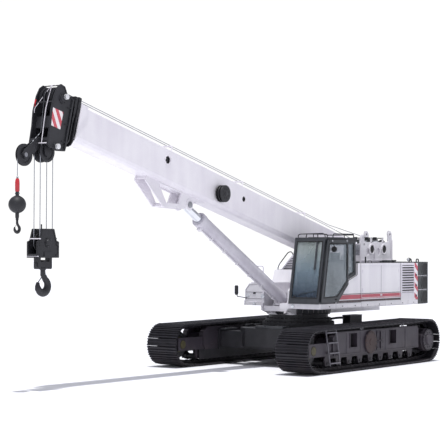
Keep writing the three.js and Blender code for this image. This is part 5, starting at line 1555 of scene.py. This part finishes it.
def makeHead():
    plateY, topT, topS = head["y"], head["topT"], head["topS"]
    bm = bmesh.new()
    outline = [(10.69, 0.43), (10.86, 0.47), (10.96, 0.59), (11.08, 0.60), (11.16, 0.52), (11.215, 0.33),
        (11.235, 0.02), (11.19, -0.3), (11.175, -0.69), (11.06, -0.72), (10.845, -0.72),
        (10.64, -0.665), (10.64, -0.3)]
    for s in (1, -1):
        ya, yb = spanY(s, plateY - 0.001, plateY + 0.009)
        addRing(bm, inset(outline, 0.004), inset(outline, 0.028), "xz", ya, yb, 0)
        addSpun(bm, (topT, s * (plateY - 0.002), topS), yWay * s,
            [(0, 0.11), (0.014, 0.108), (0.016, 0.075), (0.034, 0.07), (0.036, 0)], 28, 0)
        boltCircle(bm, s, (topT, s * (plateY + 0.012), topS), 0.092, 8, 0)
        for t, z in head["pins"]:
            addSpun(bm, (t, s * (plateY + 0.066), z), yWay * s,
                [(0, 0.0535), (0.012, 0.0535), (0.014, 0.045), (0.014, 0.0)], 24, 2)
            addSpun(bm, (t, s * (plateY - 0.001), z), yWay * s,
                [(0, 0.09), (0.012, 0.088), (0.016, 0.055)], 24, 0, False)
            for k in (0.028, 0.048):
                addSpun(bm, (t, s * (plateY + k), z), yWay * s,
                    [(0, 0.0525), (0.004, 0.056), (0.008, 0.0525)], 24, 2, False)
        # guide plates and gussets behind the plates
        addBox(bm, 10.66, 10.70, *spanY(s, plateY - 0.001, plateY + 0.03), -0.62, 0.40, 0)
        for z in (-0.5, -0.15, 0.2):
            addPrism(bm, [(10.70, z), (10.70, z + 0.012), (10.80, z + 0.012), (10.80, z)], "xz",
                *spanY(s, plateY - 0.001, plateY + 0.024), 0)
    # hazard square on the near plate, red edge on the far one
    sign = [(10.885, -0.285), (11.175, -0.285), (11.195, 0.075), (10.885, 0.075)]
    addPrism(bm, sign, "xz", plateY + 0.0005, plateY + 0.004, 3)
    addPrism(bm, [(11.21, 0.10), (11.228, 0.10), (11.222, 0.26), (11.204, 0.26)], "xz", -0.252, -0.222, 4)
    # rope guards: a long bar down the open front, a bar to the far plate and two across
    addTube(bm, [(11.02, 0.06, 0.60), (11.14, 0.06, 0.575), (11.235, 0.1, 0.05), (11.215, 0.13, -0.66)],
        0.008, 1, 0.08, 8)
    addTube(bm, [(11.13, 0.05, 0.575), (11.228, -0.215, 0.06), (11.21, -0.215, -0.02)], 0.007, 1, 0.05, 8)
    addTube(bm, [(11.19, -0.24, -0.655), (11.205, -0.1, -0.66), (11.205, 0.2, -0.66), (11.19, 0.24, -0.655)],
        0.011, 1, 0.03, 8)
    addTube(bm, [(11.03, -0.235, 0.597), (11.03, 0.235, 0.597)], 0.012, 0, 0, 8)
    addTube(bm, [(11.2, -0.235, 0.2), (11.2, 0.235, 0.2)], 0.014, 0, 0, 10)
    # hose and cable run down to the anti-two-block weight's bracket
    addTube(bm, [(10.70, 0.262, -0.56), (10.8, 0.27, -0.62), (10.98, 0.27, -0.69), (11.06, 0.2, -0.7)],
        0.009, 5, 0.08, 8)
    finishPiece("head_fittings", bm, "boom_tip",
        [headBlack, boomWhite, brightSteel, headStripes, red, rubber], place=boomAt)
    bm = bmesh.new()
    for y in (-0.15, -0.05, 0.05, 0.15):
        addSheave(bm, topT, y, topS, head["topR"])
    addRod(bm, (topT, -0.2235, topS), (topT, 0.2235, topS), 0.05, 24, 1)
    finishPiece("upper_sheaves", bm, "boom_tip", [headBlack, steel], place=boomAt,
        stands=["head_sheaves_upper"])
    bm = bmesh.new()
    back = boomAt.inverted()
    main, aux = back @ Vector(joints["main_hook_hang"]["pos_m"]), back @ Vector(joints[
        "aux_hook_hang"]["pos_m"])
    for y in (-0.08, 0.08):
        addSheave(bm, main.x, y, main.z, sheave["r"], 0.012)
    addRod(bm, (main.x, -0.1115, main.z), (main.x, 0.1115, main.z), 0.05, 24, 1)
    finishPiece("lower_sheaves", bm, "boom_tip", [headBlack, steel], place=boomAt,
        stands=["head_sheaves_lower"])
    bm = bmesh.new()
    addSheave(bm, aux.x, 0, aux.z, sheave["r"], 0.02)
    addRod(bm, (aux.x, -0.06, aux.z), (aux.x, 0.06, aux.z), 0.045, 24, 1)
    finishPiece("aux_head_sheave", bm, "boom_tip", [headBlack, steel], place=boomAt,
        stands=["aux_sheave"])
    # ropes over the wheels, in the darker rope whose colour is painted shade inside the head
    bm = bmesh.new()
    r = boom["ropeS"] - topS

    def over(cx, cz, radius, y, a0, a1, n=18):
        return [Vector((cx + radius * cos(radians(a0 + (a1 - a0) * k / n)), y,
            cz + radius * sin(radians(a0 + (a1 - a0) * k / n)))) for k in range(n + 1)]

    y0, y1 = boom["ropeY"]
    addTube(bm, over(topT, topS, r, y0, 90, 5)
        + over(main.x, main.z, sheave["rope"], 0.08, 5, -boom["restLuff"], 4), sheave["thin"], 0, 0.0, 8)
    addTube(bm, over(topT, topS, r, y1, 90, 0) + [Vector((11.12, -0.03, -0.4))]
        + over(aux.x, aux.z, sheave["rope"], 0.0, 110, -boom["restLuff"], 12), sheave["thin"], 0, 0.0, 8)
    for y in (-0.08, 0.08):
        addTube(bm, over(main.x, main.z, sheave["rope"], y, 180 - boom["restLuff"], -boom["restLuff"], 24),
            sheave["thin"], 0, 0.0, 8)
    finishPiece("head_ropes", bm, "boom_tip", [shadedRope], place=boomAt)


makeBoomTrim()
makeReel()
makeRopes()
makeCollarTrim()
makeHead()
repaint(boomWhite, "boom_base")
repaint(black, "boom_section_2", "boom_section_3")
repaint(grey, "boom_section_4")
repaint(headBlack, "boom_head")
repaint(steel, "boom_foot_pin")
print("boom done")

# luffing cylinder
lift = {"r": 0.16, "length": 4.11, "rod": 0.095, "boss": 0.15, "bossY": 0.1676}


def makeCylinder():
    barrelLong, r = lift["length"], lift["r"]
    bm = bmesh.new()
    addSpun(bm, (0, 0, 0), xWay, [(0.06, 0.0), (0.06, 0.11), (0.14, 0.15), (0.2, r), (0.24, r + 0.006),
        (0.27, r + 0.006), (0.28, r), (barrelLong - 0.18, r), (barrelLong - 0.16, r + 0.006),
        (barrelLong - 0.13, r + 0.013), (barrelLong - 0.02, r + 0.013), (barrelLong, r + 0.004),
        (barrelLong, 0.098), (barrelLong - 0.05, 0.098), (barrelLong - 0.05, 0.0)], 48, 0, False)
    boss = mirrored([(0, 0.073), (0, 0.14), (0.01, lift["boss"])], 2 * lift["bossY"])
    addSpun(bm, (0, -lift["bossY"], 0), yWay, boss + [(0, 0.073)], 36, 0, False)
    addTube(bm, [(0.22, 0.0, -0.17), (0.34, 0.03, -0.2), (barrelLong - 0.3, 0.03, -0.2),
        (barrelLong - 0.16, 0.0, -0.17)], 0.016, 1, 0.08, 10)
    for k in range(6):
        x = 0.6 + k * 0.58
        addBox(bm, x - 0.02, x + 0.02, 0.0, 0.06, -0.222, -0.15, 1)
    addBox(bm, 0.14, 0.30, -0.06, 0.06, -0.235, -0.15, 1)
    addBox(bm, barrelLong - 0.2, barrelLong - 0.11, -0.05, 0.05, -0.215, -0.15, 1)
    grow(bm, "circle", grey, 0, place=Matrix.Translation((barrelLong - 0.002, 0, 0))
        @ Matrix.Rotation(radians(-90), 4, "Z"), Piece=boltSmall, Count=10, Radius=0.14,
        Centre=Vector((0, 0, 0)), Tilt=toPlusY)
    finishPiece("lift_barrel_smooth", bm, "lift_barrel", [grey, white, black], place=liftAt,
        stands=["lift_cylinder_barrel"])
    bm = bmesh.new()
    eyeAt = (liftAt.inverted() @ (boomAt @ Vector((rod["eye"][0], 0, rod["eye"][1])))).x
    start = eyeAt - (7.28 - barrelLong + 0.3)
    rodLong = eyeAt - start
    addSpun(bm, (start, 0, 0), xWay, [(0, 0.0), (0, 0.12), (0.01, 0.1236), (0.11, 0.1236), (0.12, 0.12),
        (0.12, lift["rod"]), (rodLong - 0.12, lift["rod"]), (rodLong - 0.1, 0.088), (rodLong - 0.04, 0.08),
        (rodLong - 0.04, 0)], 48, 0, False)
    addSpun(bm, (eyeAt, -0.076, 0), yWay, mirrored([(0, 0.03), (0, 0.08), (0.008, 0.088)], 0.152), 32, 1)
    addRod(bm, (eyeAt, -0.124, 0), (eyeAt, 0.124, 0), 0.044, 24, 2)
    finishPiece("lift_rod_smooth", bm, "lift_rod", [chrome, grey, steel], place=liftAt,
        stands=["lift_cylinder_rod"])


makeCylinder()
repaint(steel, "cylinder_foot_pin")
print("cylinder done")

# falls, hook block and hooks
block = {"z": -1.80, "bottom": -2.10, "guard": -1.525, "half": 0.31, "y": 0.14, "yoke": -2.295,
    "yokeHigh": 0.12, "leg": 0.2, "hook": (-2.652, 0.14, 0.084)}
ball = {"x": 0.1794, "z": -0.975, "r": 0.172, "hook": (-1.446, 0.066, 0.034), "line": -0.465}


def makeFalls(name, y, node):
    bm = bmesh.new()
    r = sheave["rope"]
    under = [Vector((r * cos(pi + k * pi / 24), y, block["z"] + r * sin(pi + k * pi / 24)))
        for k in range(25)]
    addTube(bm, [Vector((-r, y, 0))] + under + [Vector((r, y, 0))], sheave["thin"], 0, 0.0, 10)
    finishPiece(name, bm, "main_hook_set", [rope], place=mainHangAt, stands=[node])


# a forged hook: thick in the saddle, thin at the tip, with its shank up at x
def addHook(bm, x, z, r, thick, neck, shank):
    path = [(Vector((x, 0, z + shank)), neck), (Vector((x, 0, z + r * 2.1)), neck),
        (Vector((x - r * 0.02, 0, z + r * 1.6)), neck * 1.12)]
    for k in range(23):
        a = 122 + k * (386 - 122) / 22
        u = k / 22
        size = 0.78 + 0.24 * sin(pi * min(1.0, u * 1.2)) if u < 0.8 else 0.92 - (u - 0.8) / 0.2 * 0.5
        wider = 1 + 0.08 * max(0.0, u - 0.6) / 0.4
        path.append((Vector((x + r * wider * cos(radians(a)), 0,
            z + r * wider * sin(radians(a)))), thick * size))
    sides = 14
    made = []
    for i, (p, rad) in enumerate(path):
        ahead, back = path[min(i + 1, len(path) - 1)][0], path[max(i - 1, 0)][0]
        way = (ahead - back).normalized()
        out = way.cross(Vector((0, 1, 0)))
        made.append([bm.verts.new(p + out * rad * cos(2 * pi * k / sides) + Vector((0, 1, 0)) * rad * 0.82
            * sin(2 * pi * k / sides)) for k in range(sides)])
    for a, b in zip(made, made[1:]):
        for k in range(sides):
            bm.faces.new((a[k], a[(k + 1) % sides], b[(k + 1) % sides], b[k]))
    for row in (made[0], made[-1]):
        bm.faces.new(row)
    tip, base = path[-1][0], Vector((x - 0.1 * r, 0, z + r * 1.62))
    addTube(bm, [base, tip + (base - tip).normalized() * r * 0.1], thick * 0.13, 1, 0, 8)
    addRod(bm, (base.x, -thick * 0.7, base.z), (base.x, thick * 0.7, base.z), thick * 0.18, 12, 1)


def makeBlock():
    bm = bmesh.new()
    half, low, y, guard, yoke = (block[k] for k in ("half", "bottom", "y", "guard", "yoke"))
    cheek = [(-half, low), (half, low), (half, low + 0.32), (0.24, low + 0.345), (0.17, guard),
        (-0.17, guard), (-0.24, low + 0.345), (-half, low + 0.32)]
    for s in (1, -1):
        ya, yb = spanY(s, y - 0.001, y + 0.01)
        addRing(bm, inset(cheek, 0.004), inset(cheek, 0.03), "xz", ya, yb, 0)
        addSpun(bm, (0, s * (y - 0.001), block["z"]), yWay * s,
            [(0, 0.095), (0.012, 0.093), (0.02, 0.07), (0.036, 0.062), (0.038, 0)], 28, 0)
        boltCircle(bm, s, (0, s * (y + 0.01), block["z"]), 0.08, 6, 0)
        for x in (-0.25, 0.25):
            for z in (low + 0.05, low + 0.27):
                addSpun(bm, (x, s * (y - 0.001), z), yWay * s, [(0, 0.03), (0.012, 0.028), (0.014, 0)], 6, 0)
        addBox(bm, -0.12, 0.12, *spanY(s, y + 0.001, y + 0.012), low + 0.03, low + 0.12, 0)
    # pale guard bars over the cheeks
    for x, z, mat in ((-0.23, low + 0.385, 0), (0.235, low + 0.375, 1), (-0.13, guard - 0.03, 0),
            (0.30, low + 0.03, 1)):
        addTube(bm, [(x, -y - 0.012, z), (x, y + 0.012, z)], 0.011, mat, 0, 10)
    addTube(bm, [(0.05, 0.0, guard - 0.05), (0.05, 0.0, guard + 0.09)], 0.014, 0, 0, 8)
    addTube(bm, [(0.05, -0.135, guard - 0.04), (0.05, 0.135, guard - 0.04)], 0.013, 0, 0, 8)
    # nut and thrust ring over the yoke, pins in its two legs
    over = yoke + block["yokeHigh"]
    addSpun(bm, (0, 0, over - 0.001), zWay, [(0, 0.075), (0.008, 0.075), (0.01, 0.06), (0.03, 0.06),
        (0.034, 0.045), (0.034, 0)], 6, 0)
    for s in (1, -1):
        # round end of each leg, its cap and pin
        leg = [(s * (block["leg"] - 0.0375 + 0.0385 * cos(pi + k * pi / 10)),
            yoke + 0.002 + 0.032 * sin(pi + k * pi / 10)) for k in range(11)]
        addPrism(bm, leg + [(s * block["leg"] * 1.003, yoke + 0.02),
            (s * (block["leg"] - 0.075), yoke + 0.02)], "xz", -0.06, 0.06, 0)
        addSpun(bm, (s * (block["leg"] - 0.001), 0, yoke + 0.06), xWay * s,
            [(0, 0.05), (0.012, 0.048), (0.014, 0.03), (0.02, 0.028), (0.02, 0)], 20, 0)
    finishPiece("hook_block_fittings", bm, "main_hook_set", [black, boomWhite],
        place=mainHangAt)
    bm = bmesh.new()
    for yy in (-0.08, 0.08):
        addSheave(bm, 0, yy, block["z"], sheave["r"])
    addRod(bm, (0, -y - 0.0135, block["z"]), (0, y + 0.0135, block["z"]), 0.0395, 24, 0)
    finishPiece("block_wheels", bm, "main_hook_set", [black], place=mainHangAt,
        stands=["block_sheaves"])
    bm = bmesh.new()
    z, r, thick = block["hook"]
    addHook(bm, 0, z, r, thick, 0.056, yoke + block["yokeHigh"] + 0.025 - z)
    addSpun(bm, (0, 0, yoke - 0.045), zWay, [(0, 0.042), (0.0, 0.06), (0.035, 0.07),
        (0.044, 0.05)], 20, 0, False)
    finishPiece("main_hook_forged", bm, "main_hook_set", [black, steel], place=mainHangAt,
        angle=60, stands=["main_hook"])


def makeBall():
    bm = bmesh.new()
    x, z, r = ball["x"], ball["z"], ball["r"]
    profile = [(0, 0.0)] + [(r - r * cos(pi * k / 20), max(0.0, r * sin(pi * k / 20)))
        for k in range(1, 20)] + [(2 * r, 0.0)]
    addSpun(bm, (x, 0, z - r), zWay, profile, 36, 0, False)
    addSpun(bm, (x, 0, z + 0.13), zWay, [(0, 0.075), (0.03, 0.07), (0.045, 0.036), (0.13, 0.036)], 24, 0)
    addSpun(bm, (x, 0, z + 0.25), zWay, [(0, 0.036), (0.015, 0.045), (0.18, 0.045), (0.22, 0.04),
        (0.255, 0.03), (0.259, 0.0)], 24, 1)
    addSpun(bm, (x, 0, z - 0.26), zWay, [(0, 0.0), (0, 0.034), (0.02, 0.038), (0.09, 0.038), (0.1, 0.06),
        (0.13, 0.062)], 24, 0, False)
    addRod(bm, (x, -0.055, z + 0.215), (x, 0.055, z + 0.215), 0.014, 12, 2)
    finishPiece("ball_and_socket", bm, "aux_hook_set", [black, red, steel], place=auxHangAt,
        angle=50, stands=["hook_ball"])
    bm = bmesh.new()
    hz, hr, thick = ball["hook"]
    addHook(bm, x, hz, hr, thick, 0.026, z - 0.27 - hz)
    addRod(bm, (x, 0, z - 0.3), (x, 0, z - 0.255), 0.03, 16, 0)
    finishPiece("ball_hook_forged", bm, "aux_hook_set", [black, steel], place=auxHangAt,
        angle=60, stands=["ball_hook"])
    bm = bmesh.new()
    addRod(bm, (x, 0, ball["line"] - 0.03), (x, 0, 0), sheave["thin"], 10, 0)
    addSpun(bm, (x, 0, ball["line"] - 0.01), zWay, [(0, 0.02), (0.04, 0.02), (0.05, 0.0115)], 12, 1)
    finishPiece("aux_rope", bm, "aux_hook_set", [rope, steel], place=auxHangAt, stands=["aux_line"])


makeFalls("falls_left", 0.08, "main_falls_left")
makeFalls("falls_right", -0.08, "main_falls_right")
makeBlock()
makeBall()
repaint(black, "hook_block")
print("hooks done")


# floor
def makeFloor():
    bm = bmesh.new()
    bmesh.ops.create_grid(bm, x_segments=4, y_segments=4, size=260)
    mesh = bpy.data.meshes.new("floor")
    bm.to_mesh(mesh)
    bm.free()
    mesh.materials.append(paint("floorPale", "f6f6fa", "f1f1f6", (0.85, 0.95), bump=0.0))
    o = bpy.data.objects.new("floor", mesh)
    bpy.context.scene.collection.objects.link(o)


makeFloor()
removePattern(boltSmall, boltLarge)
